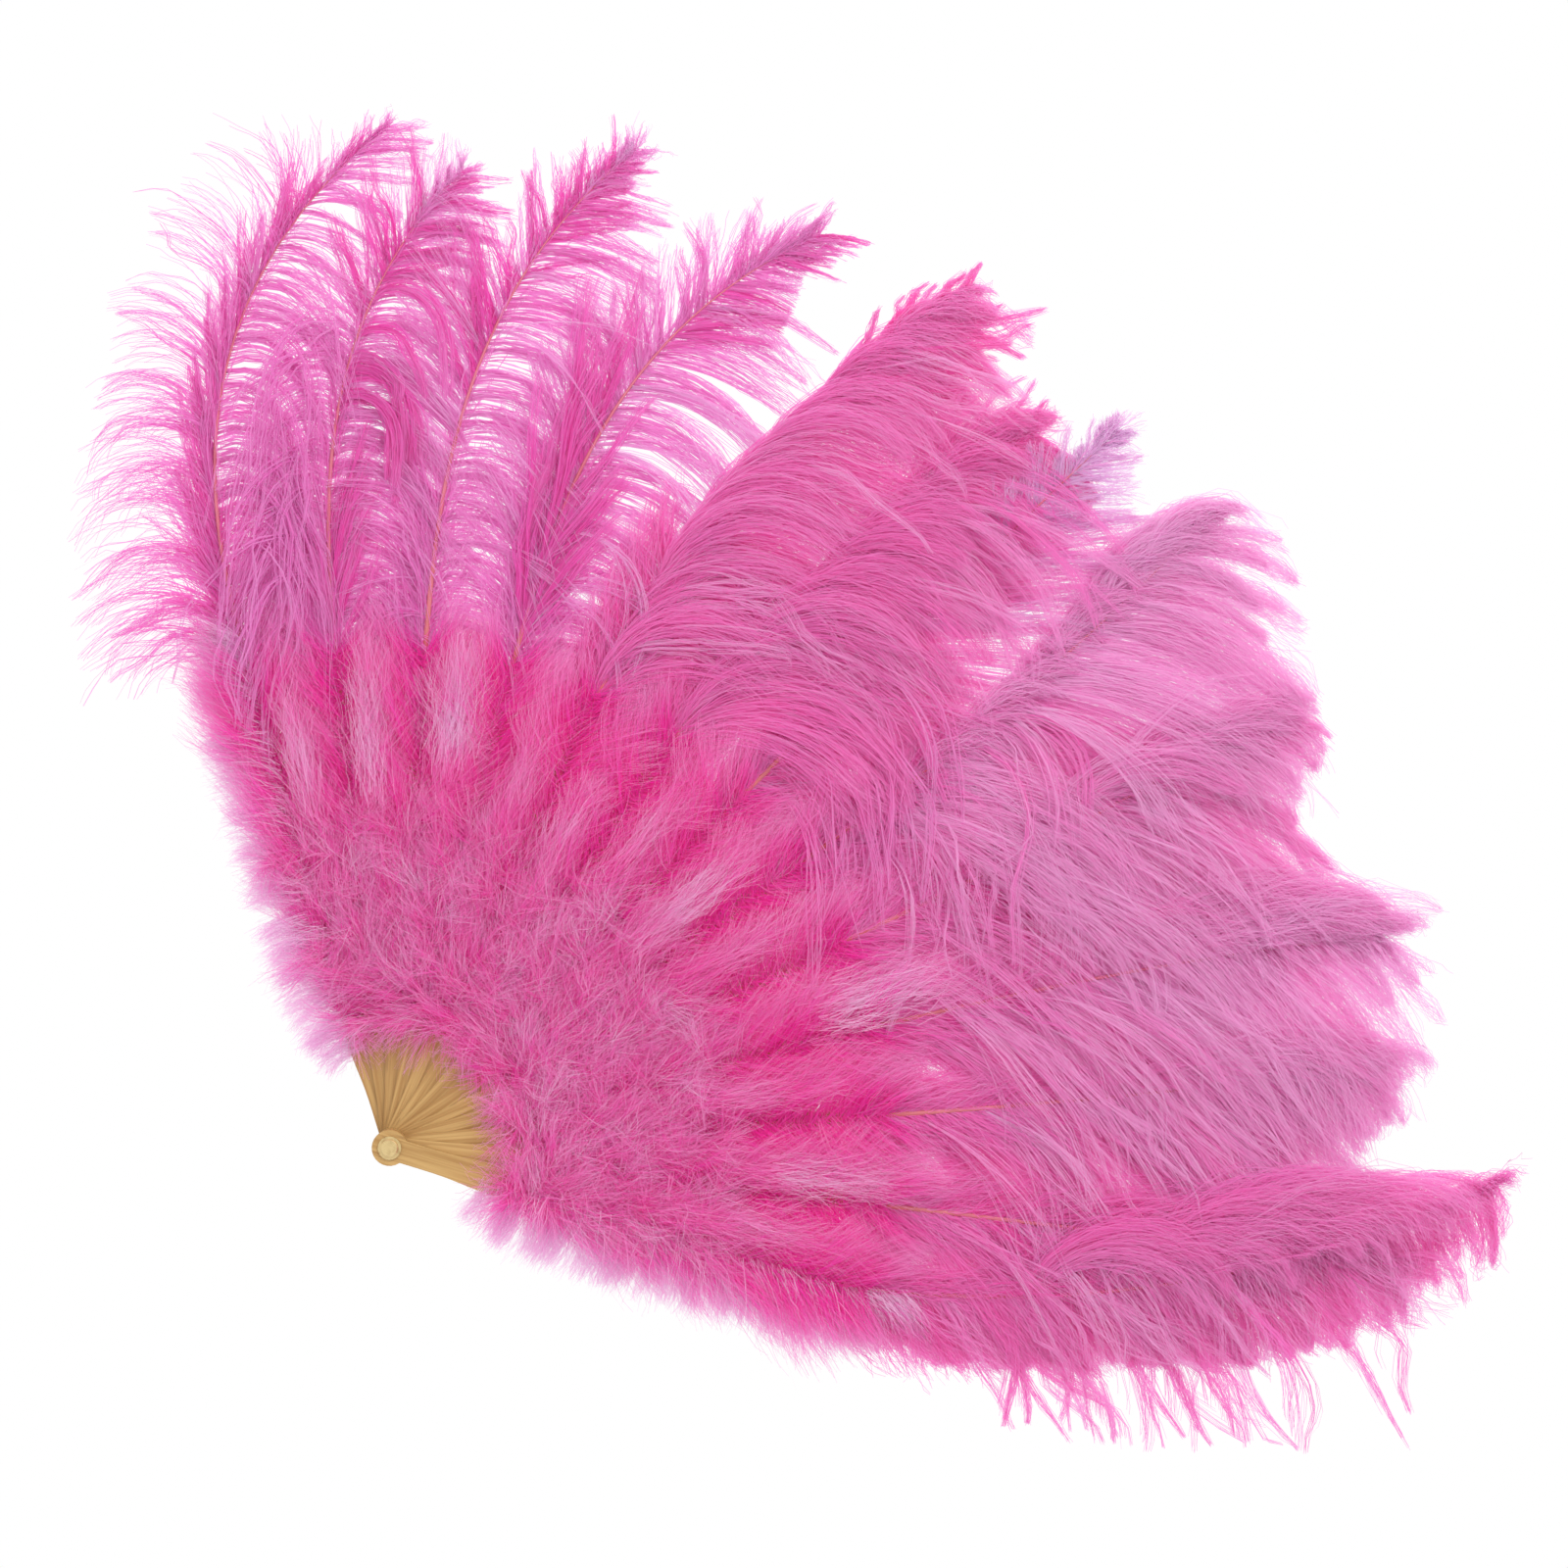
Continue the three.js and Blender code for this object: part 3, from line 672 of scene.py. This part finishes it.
# The last tuft, which goes on past the end of the shaft
def plumeBrush(leaf, rng):
    count, tufts = plumeStyle["brushBarbs"], plumeStyle["brushTufts"]
    share = rng.uniform(0, 1, count)
    reach = leaf["length"] * leaf["end"] * (0.935 + 0.050 * share)
    heading = headingAt(leaf, reach)
    tuft = rng.integers(0, tufts, count)
    spread = np.linspace(-44, 30, tufts)[tuft] * (1.1 - 0.4 * share) + rng.normal(0, 5, count)
    lengths = rng.uniform(0.018, 0.044, count)
    lifts = perClump(0.10, tuft, rng, tufts) + rng.normal(0, 0.04, count)
    barbs = growStrands(spineAt(leaf, reach), heading + spread * 0.5, heading + spread * 1.3 - 22,
                        np.ones(count), lengths, lifts, plumeStyle["steps"])
    barbs = gather(barbs, tuft, 0.55, 1.2)
    barbs = trimToOutline(barbs, 1.0 + perClump(0.015, tuft, rng, tufts))
    return barbs, leaf["tone"][-1] + rng.normal(0, 0.1, count)


# Which way most strands face, for ribbons: to the front, each with its own tilt
def facingFront(count, spread, rng):
    return unit(np.array([0.0, -1.0, 0.0]) + rng.normal(0, spread, (count, 3)))


def growPlume(leaf, material):
    cut = plumeCuts[leaf["cut"]]
    rng = np.random.default_rng(500 + leaf["index"])
    widths = [width / 1000 for width in cut["width"]]
    groups = []
    parts = [plumeSide(leaf, 1, rng), plumeSide(leaf, -1, rng), plumeBrush(leaf, rng), plumeDown(leaf, rng)]
    locks = [lockRun(leaf, row, rng) for row in plumeLocks if row[0] == leaf["index"]]
    for place, (barbs, tones) in enumerate(parts + locks):
        count, points = barbs.shape[:2]
        tight = 1.0 if place < len(parts) else plumeStyle["lockFray"]
        for _ in range(cut["strands"]):
            fray = rng.normal(0, tight * cut["fray"] / 1000, (count, 1, 3))
            along = np.linspace(0, 1, points)[None, :, None]
            fray = fray * along * (1 - 0.75 * along ** 2) * 1.6
            lines = keepInside(frizz(barbs + fray, tight * cut["frizz"] / 1000, rng, 2.6), rng)
            facing = facingFront(count, 0.6 * cut["tilt"], rng)
            shades = tones + rng.normal(0, 0.07 * cut["toneStir"], count)
            groups.append(ribbons(lines, *widths, facing, cut["tilt"], shades, rng))
            groups.append(hairs(lines, cut["hairs"], cut["hair"] / 1000, plumeStyle["hairWidth"],
                                plumeStyle["hairSlant"], shades, rng))
    return strandMesh(f"feather_{leaf['label']}", groups, material)


# The horn shafts of the plumes

shaftStyle = {"sides": 8, "steps": 40, "radiusRoot": 0.0018, "radiusTip": 0.00022}


def growShaft(leaf, material):
    style = shaftStyle
    start = fanShape["staveLength"] - fanShape["forkDepth"]
    share = np.linspace(0, 1, style["steps"])
    reach = start + (leaf["length"] * leaf["end"] * 0.985 - start) * share
    middle = spineAt(leaf, reach)
    along = spineHeading(leaf, reach)
    across = np.stack([-along[:, 2], np.zeros(len(share)), along[:, 0]], -1)
    depth = np.tile(np.array([0.0, 1.0, 0.0]), (len(share), 1))
    radius = style["radiusRoot"] + (style["radiusTip"] - style["radiusRoot"]) * share ** 1.05
    flat = np.minimum(radius, leaf["thickness"] * 0.45)
    turn = np.arange(style["sides"]) * 2 * math.pi / style["sides"]
    ring = (middle[:, None, :] + across[:, None, :] * (radius[:, None] * np.cos(turn))[:, :, None]
            + depth[:, None, :] * (flat[:, None] * np.sin(turn))[:, :, None])
    grid = np.arange(ring.shape[0] * ring.shape[1]).reshape(ring.shape[:2])
    after = np.roll(grid, -1, axis=1)
    faces = np.stack([grid[:-1], after[:-1], after[1:], grid[1:]], -1).reshape(-1, 4)
    u = np.repeat(share, style["sides"])
    v = np.tile(np.linspace(0.02, 0.98, style["sides"]), len(share))
    groups = [(ring.reshape(-1, 3), faces, np.stack([u, v], -1))]
    return strandMesh(f"shaft_{leaf['label']}", groups, material)


# The marabou along each stave: a soft lane of barbs, short fuzz near the rivet, a fringe on the guards

fluffStyle = {
    "laneBarbs": 3200,
    "laneFrom": 0.070,
    "laneTo": 0.262,
    "laneLength": 0.038,
    "laneSteps": 6,
    "laneGap": 0.0004,  # between a stave and the roots on it
    "featherWidth": 0.013,
    "wideShare": 0.30,  # barbs that stand out wide
    "outerRise": 1.25,  # how much more the fan's two outer faces rise
    "stripeBarbs": 620,
    "stripeLength": 0.026,
    "stripeDepth": (0.004, 0.012),
    "fuzzBarbs": 1600,
    "fuzzFrom": 0.066,
    "fuzzTo": 0.176,
    "fuzzLength": 0.027,
    "fuzzSteps": 5,
    "fuzzTufts": 44,
    "fuzzDepth": 0.006,
    "fringeBarbs": 3800,
    "fringeFrom": 0.052,
    "fringeTo": 0.285,
    "fringeLength": 0.037,
    "fringeTuft": 0.002,
    "fringeTone": 0.97,
    "width": (0.00034, 0.00012),  # root and tip
    "hairsPerStrand": 6,
    "hairLength": 0.0026,
    "hairWidth": 0.00016,
    "hairSlant": 42,
    "frizz": 0.0012,
    "tilt": 0.6,
}


# Pale stripes of down between the lanes, one for each leaf but the rear one: places from and to (mm from
# the rivet), degrees off the leaf, spread to each side (mm), tone
fluffStripes = [
    (164, 232, 6.6, 3.6, 0.80), (178, 252, 6.8, 4.4, 0.86), (192, 250, 5.6, 5.6, 0.94),
    (170, 226, 5.0, 3.6, 0.68), (136, 206, 5.4, 3.4, 0.70), (170, 240, 5.8, 3.8, 0.68),
    (156, 234, 4.6, 4.8, 0.84), (170, 228, 5.0, 3.6, 0.66), (222, 296, 3.4, 7.6, 0.90),
    (160, 222, 4.6, 3.6, 0.68), (186, 268, 2.8, 5.6, 0.86), (146, 226, 4.6, 4.2, 0.72),
]


# A smooth up and down of tone along a leaf, from -1 to 1
def toneWave(reach, rng):
    waves = np.zeros_like(reach)
    for pitch, amount in ((0.090, 0.5), (0.047, 0.35), (0.023, 0.25)):
        waves = waves + amount * np.sin(reach * 2 * math.pi / pitch + rng.uniform(0, 2 * math.pi))
    return waves


def fluffLane(leaf, face, rng):
    style = fluffStyle
    count = style["laneBarbs"]
    share = np.sort(rng.uniform(0, 1, count))
    reach = style["laneFrom"] + (style["laneTo"] - style["laneFrom"]) * share
    side = np.where(rng.uniform(0, 1, count) < 0.5, 1.0, -1.0)
    feather = ((reach - style["laneFrom"]) / style["featherWidth"] + rng.uniform(0, 0.4, count)).astype(int)
    feather = feather * 2 + (side > 0)
    roots = rootsBeside(leaf, reach, rng.normal(0, 0.0028, count) + side * 0.001)
    roots[:, 1] += face * (leaf["thickness"] / 2 + style["laneGap"])
    wide = rng.uniform(0, 1, count) < style["wideShare"]
    outer = np.interp(share, (0, 0.5, 0.8, 1), (0, 4, 12, 6))
    start = 38 + outer + rng.normal(0, 15, count) + perClump(9, feather, rng) + np.where(wide, 30, 0)
    end = 8 + outer + rng.normal(0, 16, count) + perClump(11, feather, rng) + np.where(wide, 36, 0)
    taper = np.interp(share, (0, 0.2, 0.55, 0.8, 1), (0.75, 0.95, 1.1, 1.3, 0.95))
    lengths = style["laneLength"] * taper * np.clip(rng.normal(1, 0.16, count), 0.4, 1.5)
    lengths = lengths * (1 + perClump(0.12, feather, rng))
    rise = np.abs(rng.normal(0.30, 0.22, count)) + perClump(0.08, feather, rng)
    if (leaf["label"], face) in (("rear", 1), ("front", -1)):
        rise = rise * style["outerRise"]
    lines = growFromLeaf(leaf, roots, side * start, side * end, 0.8, lengths, face * rise, style["laneSteps"])
    small = feather * 7 + rng.integers(0, 7, count)
    lines = gather(lines, small, 0.45, 1.1)
    lines = gather(lines, feather, 0.16, 1.2)
    depth = np.interp(share, (0, 0.3, 0.5, 1), (0.40, 0.26, 0.09, 0.06))
    tones = depth + 0.18 * toneWave(reach, rng) + rng.normal(0, 0.04)
    tones = tones + perClump(0.11, feather, rng) + rng.normal(0, 0.06, count)
    tones = tones + np.where(wide, np.interp(share, (0, 0.4, 0.7, 1), (0.15, 0.26, 0.34, 0.30)), 0.0)
    # Painted highlight: barbs that rise further off the stave, on top of the lane, are painted paler
    tones = tones + 0.25 * np.clip(rise - 0.3, -0.3, 0.6)
    return lines, tones


# The pale stripe beside a leaf, in front of its lane
def fluffStripe(leaf, rng):
    style = fluffStyle
    low, high, aside, spread, tone = fluffStripes[leaf["index"] - 1]
    count = int(style["stripeBarbs"] * tone ** 2)
    reach = rng.uniform(low, high, count) / 1000
    roots = rootsBeside(leaf, reach, math.radians(aside) * reach + rng.normal(0, spread / 1000, count))
    roots[:, 1] -= leaf["thickness"] / 2 + rng.uniform(*style["stripeDepth"], count)
    start = aside + rng.normal(0, 11, count)
    end = start + rng.normal(0, 15, count)
    lengths = style["stripeLength"] * np.clip(rng.normal(1, 0.2, count), 0.4, 1.4)
    rise = rng.normal(0.06, 0.10, count)
    lines = growFromLeaf(leaf, roots, start, end, 1.0, lengths, -rise, style["laneSteps"])
    lines = gather(lines, rng.integers(0, 40, count), 0.10, 1.0)
    middle = 1 - 2 * np.abs(reach * 1000 - (low + high) / 2) / (high - low)
    tones = tone - 0.25 * (1 - middle) ** 2 + 0.10 * toneWave(reach, rng)
    return lines, tones + rng.normal(0, 0.07, count)


def fluffFuzz(leaf, face, rng):
    style = fluffStyle
    count = style["fuzzBarbs"]
    reach = style["fuzzFrom"] + (style["fuzzTo"] - style["fuzzFrom"]) * rng.uniform(0, 1, count) ** 1.1
    tuft = np.argsort(np.argsort(reach)) * style["fuzzTufts"] // count
    offset = perClump(0.007, tuft, rng) + rng.normal(0, 0.0022, count)
    roots = rootsBeside(leaf, reach, offset * np.clip(reach / 0.12, 0.5, 1.2))
    roots[:, 1] += face * (leaf["thickness"] / 2 + rng.uniform(0.0, style["fuzzDepth"], count))
    near = np.clip((0.090 - reach) / 0.02, 0, 1)
    start = perClump(66, tuft, rng) + rng.normal(0, 27, count)
    start = start + near * np.where(start < 0, -60, 60)
    end = start + rng.normal(0, 30, count)
    lengths = style["fuzzLength"] * np.clip(rng.normal(1, 0.22, count), 0.3, 1.7)
    rise = np.abs(rng.normal(0.55, 0.35, count))
    lines = growFromLeaf(leaf, roots, start, end, 1.0, lengths, face * rise, style["fuzzSteps"])
    lines = gather(lines, tuft * 5 + rng.integers(0, 5, count), 0.45, 1.0)
    # Painted highlight: fuzz barbs that rise further off the stave are painted paler
    tones = 0.36 + 0.46 * np.clip(rise - 0.35, -0.3, 0.8) + perClump(0.15, tuft, rng)
    return lines, tones + rng.normal(0, 0.055, count)


# The guards carry a pale fringe on their outer edge
def fluffFringe(leaf, rng):
    style = fluffStyle
    outward = 1.0 if leaf["label"] == "rear" else -1.0
    count = style["fringeBarbs"]
    share = np.sort(rng.uniform(0, 1, count))
    reach = style["fringeFrom"] + (style["fringeTo"] - style["fringeFrom"]) * share
    roots = rootsBeside(leaf, reach, outward * rng.uniform(-0.002, 0.008, count))
    roots[:, 1] += rng.normal(0, 0.004, count)
    tuft = clumpsOf(reach, style["fringeTuft"], rng)
    lean = np.interp(share, (0, 0.25, 1), (118, 96, 52)) + perClump(10, tuft, rng)
    start = lean - 22 + rng.normal(0, 12, count)
    end = lean + 8 + rng.normal(0, 14, count)
    lengths = style["fringeLength"] * np.interp(share, (0, 0.12, 0.8, 1), (0.62, 0.95, 1.0, 0.7))
    lengths = lengths * np.clip(rng.normal(0.92, 0.13, count), 0.4, 1.2)
    rise = rng.normal(0, 0.28, count)
    lines = growFromLeaf(leaf, roots, outward * start, outward * end, 1.1, lengths, rise, style["laneSteps"])
    lines = gather(lines, tuft * 6 + rng.integers(0, 6, count), 0.5, 1.4)
    return lines, style["fringeTone"] + perClump(0.04, tuft, rng) + rng.normal(0, 0.04, count)


def growFluff(leaf, material):
    style = fluffStyle
    rng = np.random.default_rng(900 + leaf["index"])
    groups = []
    parts = [fluffLane(leaf, face, rng) for face in (-1, 1)]
    parts += [fluffFuzz(leaf, face, rng) for face in (-1, 1)]
    if leaf["label"] in ("rear", "front"):
        parts.append(fluffFringe(leaf, rng))
    if leaf["label"] != "rear":
        parts.append(fluffStripe(leaf, rng))
    for lines, tones in parts:
        lines = keepInside(frizz(lines, style["frizz"], rng), rng)
        facing = facingFront(len(lines), 0.45, rng)
        groups.append(ribbons(lines, *style["width"], facing, style["tilt"], tones, rng))
        groups.append(hairs(lines, style["hairsPerStrand"], style["hairLength"], style["hairWidth"],
                            style["hairSlant"], tones, rng))
    return strandMesh(f"fluff_{leaf['label']}", groups, material)


# Grain along a stave. The place comes turned, so that x runs along the stave and z across it.
bambooStyle = {
    "light": (0.60, 0.37, 0.13, 1.0),
    "dark": (0.41, 0.215, 0.06, 1.0),
    "edge": (0.32, 0.165, 0.05, 1.0),
    "fibres": (16.0, 380.0, 850.0),
    "bands": (5.0, 60.0, 110.0),
    "specks": (60.0, 300.0, 420.0),
    # the stave turns towards the edge colour close to the rivet, between these distances in metres
    "rivetDarkReach": (0.008, 0.015),
}


def makeBambooGrain():
    style = bambooStyle
    sockets = {"colour": "Color", "roughness": "Float", "normal": "Vector"}
    group, given, result = newGroup("bambooGrain", {"place": "Vector"}, sockets)
    place = given["place"]
    fibres, bands, specks = (
        addNoise(group, (-900, 300 - 240 * row), place, style[label], 3.0 - row)
        for row, label in enumerate(("fibres", "bands", "specks"))
    )
    reach = addNode(group, "VectorMath", (-640, -420), {0: place}, operation="LENGTH").outputs["Value"]
    layers = (
        (fibres, 0.34, 0.66, 0.0, 1.0, "dark"),
        (bands, 0.35, 0.75, 0.0, 0.55, "dark"),
        (specks, 0.66, 0.76, 0.0, 0.6, "edge"),
        (reach, *style["rivetDarkReach"], 0.55, 0.0, "edge"),
    )
    colour = style["light"]
    for row, (*limits, label) in enumerate(layers):
        share = addRange(group, (-440, 300 - 240 * row), *limits)
        colour = addMix(group, (-200 + 200 * row, 300 - 60 * row), share, colour, style[label])
    feed(group, result, {
        "colour": colour,
        "roughness": addRange(group, (200, -160), fibres, 0.3, 0.7, 0.36, 0.56),
        "normal": addBump(group, (600, -300), fibres, 0.35, 0.0003),
    })
    return group


# One bamboo material for each stave, because its grain follows the stave's own angle
def makeBamboo(name, grain, angle):
    material, tree, surface = newMaterial(name)
    turned = addNode(tree, "Mapping", (-700, 0), {
        "Vector": addNode(tree, "TexCoord", (-900, 0)).outputs["Object"],
        "Rotation": (0.0, math.radians(angle), 0.0),
        "Location": (0.0, angle * 0.37, 0.0),
    })
    wood = addNode(tree, "Group", (-400, 0), {"place": turned.outputs["Vector"]}, node_tree=grain).outputs
    feed(tree, surface, {
        "Base Color": wood["colour"],
        "Roughness": wood["roughness"],
        "Normal": wood["normal"],
        "Coat Weight": 0.12,
        "Coat Roughness": 0.3,
    })
    return material


# Horn goes from golden at the root to the dye's pink at the tip, with fine streaks along it
shaftColours = {
    "root": (0.64, 0.20, 0.15, 1.0),
    "tip": (0.68, 0.18, 0.25, 1.0),
    "streak": (0.42, 0.10, 0.10, 1.0),
}


def makeHorn():
    material, tree, surface = newMaterial("hornShaft")
    strandMap = addNode(tree, "UVMap", (-1200, 0), uv_map="OFBake").outputs["UV"]
    split = addNode(tree, "SeparateXYZ", (-1000, 200), {0: strandMap})
    along = addRange(tree, (-800, 200), split.outputs["X"], 0.0, 0.45)
    colour = addMix(tree, (-500, 200), along, shaftColours["root"], shaftColours["tip"])
    streaks = addNoise(tree, (-1000, -200), strandMap, (14.0, 22.0, 1.0), 3.0)
    share = addRange(tree, (-600, -200), streaks, 0.45, 0.72, 0.0, 0.6)
    feed(tree, surface, {
        "Base Color": addMix(tree, (-250, 100), share, colour, shaftColours["streak"]),
        "Roughness": addRange(tree, (-600, -450), streaks, 0.3, 0.7, 0.28, 0.5),
        "Subsurface Weight": 0.15,
        "Subsurface Radius": (0.002, 0.001, 0.0006),
    })
    return material


# Turned brass: rings round the rivet, a little tarnish
brassColours = {"bright": (0.78, 0.60, 0.30, 1.0), "dull": (0.42, 0.27, 0.12, 1.0)}


def makeBrass(name, dullShare):
    material, tree, surface = newMaterial(name)
    place = addNode(tree, "TexCoord", (-1300, 0)).outputs["Object"]
    flat = addNode(tree, "VectorMath", (-1100, 200), {0: place, 1: (1.0, 0.0, 1.0)}, operation="MULTIPLY")
    reach = addNode(tree, "VectorMath", (-900, 200), {0: flat.outputs[0]}, operation="LENGTH")
    joined = addNode(tree, "CombineXYZ", (-700, 200), {"X": reach.outputs["Value"]})
    rings = addNoise(tree, (-500, 200), joined.outputs[0], (2600.0, 1.0, 1.0), 3.0)
    tarnish = addNoise(tree, (-1000, -200), place, (260.0, 260.0, 260.0), 4.0)
    share = addRange(tree, (-500, -200), tarnish, 0.42, 0.70, dullShare * 0.3, dullShare)
    feed(tree, surface, {
        "Base Color": addMix(tree, (-200, 0), share, brassColours["bright"], brassColours["dull"]),
        "Roughness": addRange(tree, (-200, -300), rings, 0.3, 0.7, 0.24, 0.46),
        "Normal": addBump(tree, (-100, -500), rings, 0.2, 0.0001),
        "Metallic": 1.0,
    })
    return material


def makeFloorMaterial():
    material, tree, surface = newMaterial("paleFloor")
    place = addNode(tree, "TexCoord", (-900, 0)).outputs["Object"]
    patches = addNoise(tree, (-700, 0), place, (3.0, 3.0, 3.0), 3.0)
    feed(tree, surface, {
        "Base Color": addMix(tree, (-200, 100), patches, (0.87, 0.87, 0.87, 1), (0.84, 0.84, 0.845, 1)),
        "Roughness": addRange(tree, (-200, -200), patches, 0.2, 0.8, 0.72, 0.86),
    })
    return material


tint = makeStrandTint()
plumeMaterials = {dye: makeStrandMaterial(f"{dye}Plume", tint, colours, 0.28, 0.56, 0.6)
                  for dye, colours in plumeDyes.items()}
fluffMaterial = makeStrandMaterial("dyedFluff", tint, fluffColours, 0.70, 0.54, 0.7)
shaftMaterial = makeHorn()
grain = makeBambooGrain()
rivetMaterial = makeBrass("rivetBrass", 0.5)
washerMaterial = makeBrass("washerBrass", 0.9)
print("materials made")


def dress(node, material):
    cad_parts[node].data.materials.clear()
    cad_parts[node].data.materials.append(material)


for leaf in leafList():
    feather = growPlume(leaf, plumeMaterials[leaf["dye"]])
    shaft = growShaft(leaf, shaftMaterial)
    fluff = growFluff(leaf, fluffMaterial)
    for piece, slot in ((feather, "plume"), (shaft, "quill"), (fluff, "marabou")):
        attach(piece, leaf["body"])
    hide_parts(f"plume_{leaf['label']}")
    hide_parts(f"quill_{leaf['label']}")
    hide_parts(f"marabou_{leaf['label']}")
    if leaf["label"] in ("rear", "front"):
        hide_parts(f"puff_{leaf['label']}")
    if leaf["index"] > 0:
        for piece in (feather, fluff):
            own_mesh(piece)
    dress(leaf["stave"], makeBamboo(f"bamboo_{leaf['label']}", grain, leaf["angle"]))
dress("rivet", rivetMaterial)
dress("washer_rear", washerMaterial)
dress("washer_front", washerMaterial)
triangles = sum(len(p.data.loops) - 2 * len(p.data.polygons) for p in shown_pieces() if p.type == "MESH")
print("fan grown,", triangles, "triangles,", round(time.time() - started, 1), "s")


# Camera, light, floor

viewShape = {"lookAt": (0.208, 0.0, 0.192), "distance": 2.4, "frameWidth": 0.832, "sensor": 36.0}


def addCamera():
    data = bpy.data.cameras.new("photoCamera")
    data.sensor_width = viewShape["sensor"]
    data.lens = viewShape["sensor"] * viewShape["distance"] / viewShape["frameWidth"]
    camera = bpy.data.objects.new("photoCamera", data)
    x, y, z = viewShape["lookAt"]
    camera.location = (x, y - viewShape["distance"], z)
    camera.rotation_euler = (math.pi / 2, 0, 0)
    bpy.context.scene.collection.objects.link(camera)
    bpy.context.scene.camera = camera


def addAreaLight(name, place, size, power):
    data = bpy.data.lights.new(name, "AREA")
    data.shape = "DISK"
    data.size = size
    data.energy = power
    light = bpy.data.objects.new(name, data)
    light.location = place
    aim = Vector(viewShape["lookAt"]) - Vector(place)
    light.rotation_euler = aim.to_track_quat("-Z", "Y").to_euler()
    bpy.context.scene.collection.objects.link(light)


# Things are lit by a soft pale sky, while the camera, gloss and glass see plain white
studioLight = {"Color": (0.96, 0.97, 1.0, 1), "Strength": 0.73}


def addWorld():
    world = bpy.data.worlds.new("studio")
    bpy.context.scene.world = world
    world.use_nodes = True
    tree = world.node_tree
    tree.nodes.clear()
    soft = addNode(tree, "Background", (100, 100), studioLight)
    white = addNode(tree, "Background", (100, -100), {"Color": (1, 1, 1, 1), "Strength": 1.0})
    rays = addNode(tree, "LightPath", (-500, 200)).outputs
    plain = rays["Is Camera Ray"]
    for place, label in (((-250, 200), "Is Glossy Ray"), ((-80, 200), "Is Transmission Ray")):
        plain = addNode(tree, "Math", place, {0: plain, 1: rays[label]}, operation="MAXIMUM").outputs[0]
    mix = addNode(tree, "MixShader", (400, 0), {0: plain, 1: soft.outputs[0], 2: white.outputs[0]})
    addNode(tree, "OutputWorld", (600, 0), {"Surface": mix.outputs[0]})


def addFloor():
    radius, depth, count = 3.1, -0.95, 128
    turns = [2 * math.pi * i / count for i in range(count)]
    corners = [(radius * math.cos(t), radius * math.sin(t), depth) for t in turns]
    mesh = bpy.data.meshes.new("floor")
    mesh.from_pydata(corners, [], [tuple(range(count))])
    floor = bpy.data.objects.new("floor", mesh)
    mesh.materials.append(makeFloorMaterial())
    bpy.context.scene.collection.objects.link(floor)
    floor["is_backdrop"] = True


addCamera()
addAreaLight("keyLight", (1.3, -1.7, 1.7), 1.6, 36)
addAreaLight("fillLight", (-1.8, -1.8, 0.6), 1.8, 11)
addAreaLight("backLight", (0.3, 2.2, 1.8), 1.6, 22)
addWorld()
addFloor()
bpy.context.scene.view_settings.view_transform = "Standard"
print("camera, lights and floor placed")
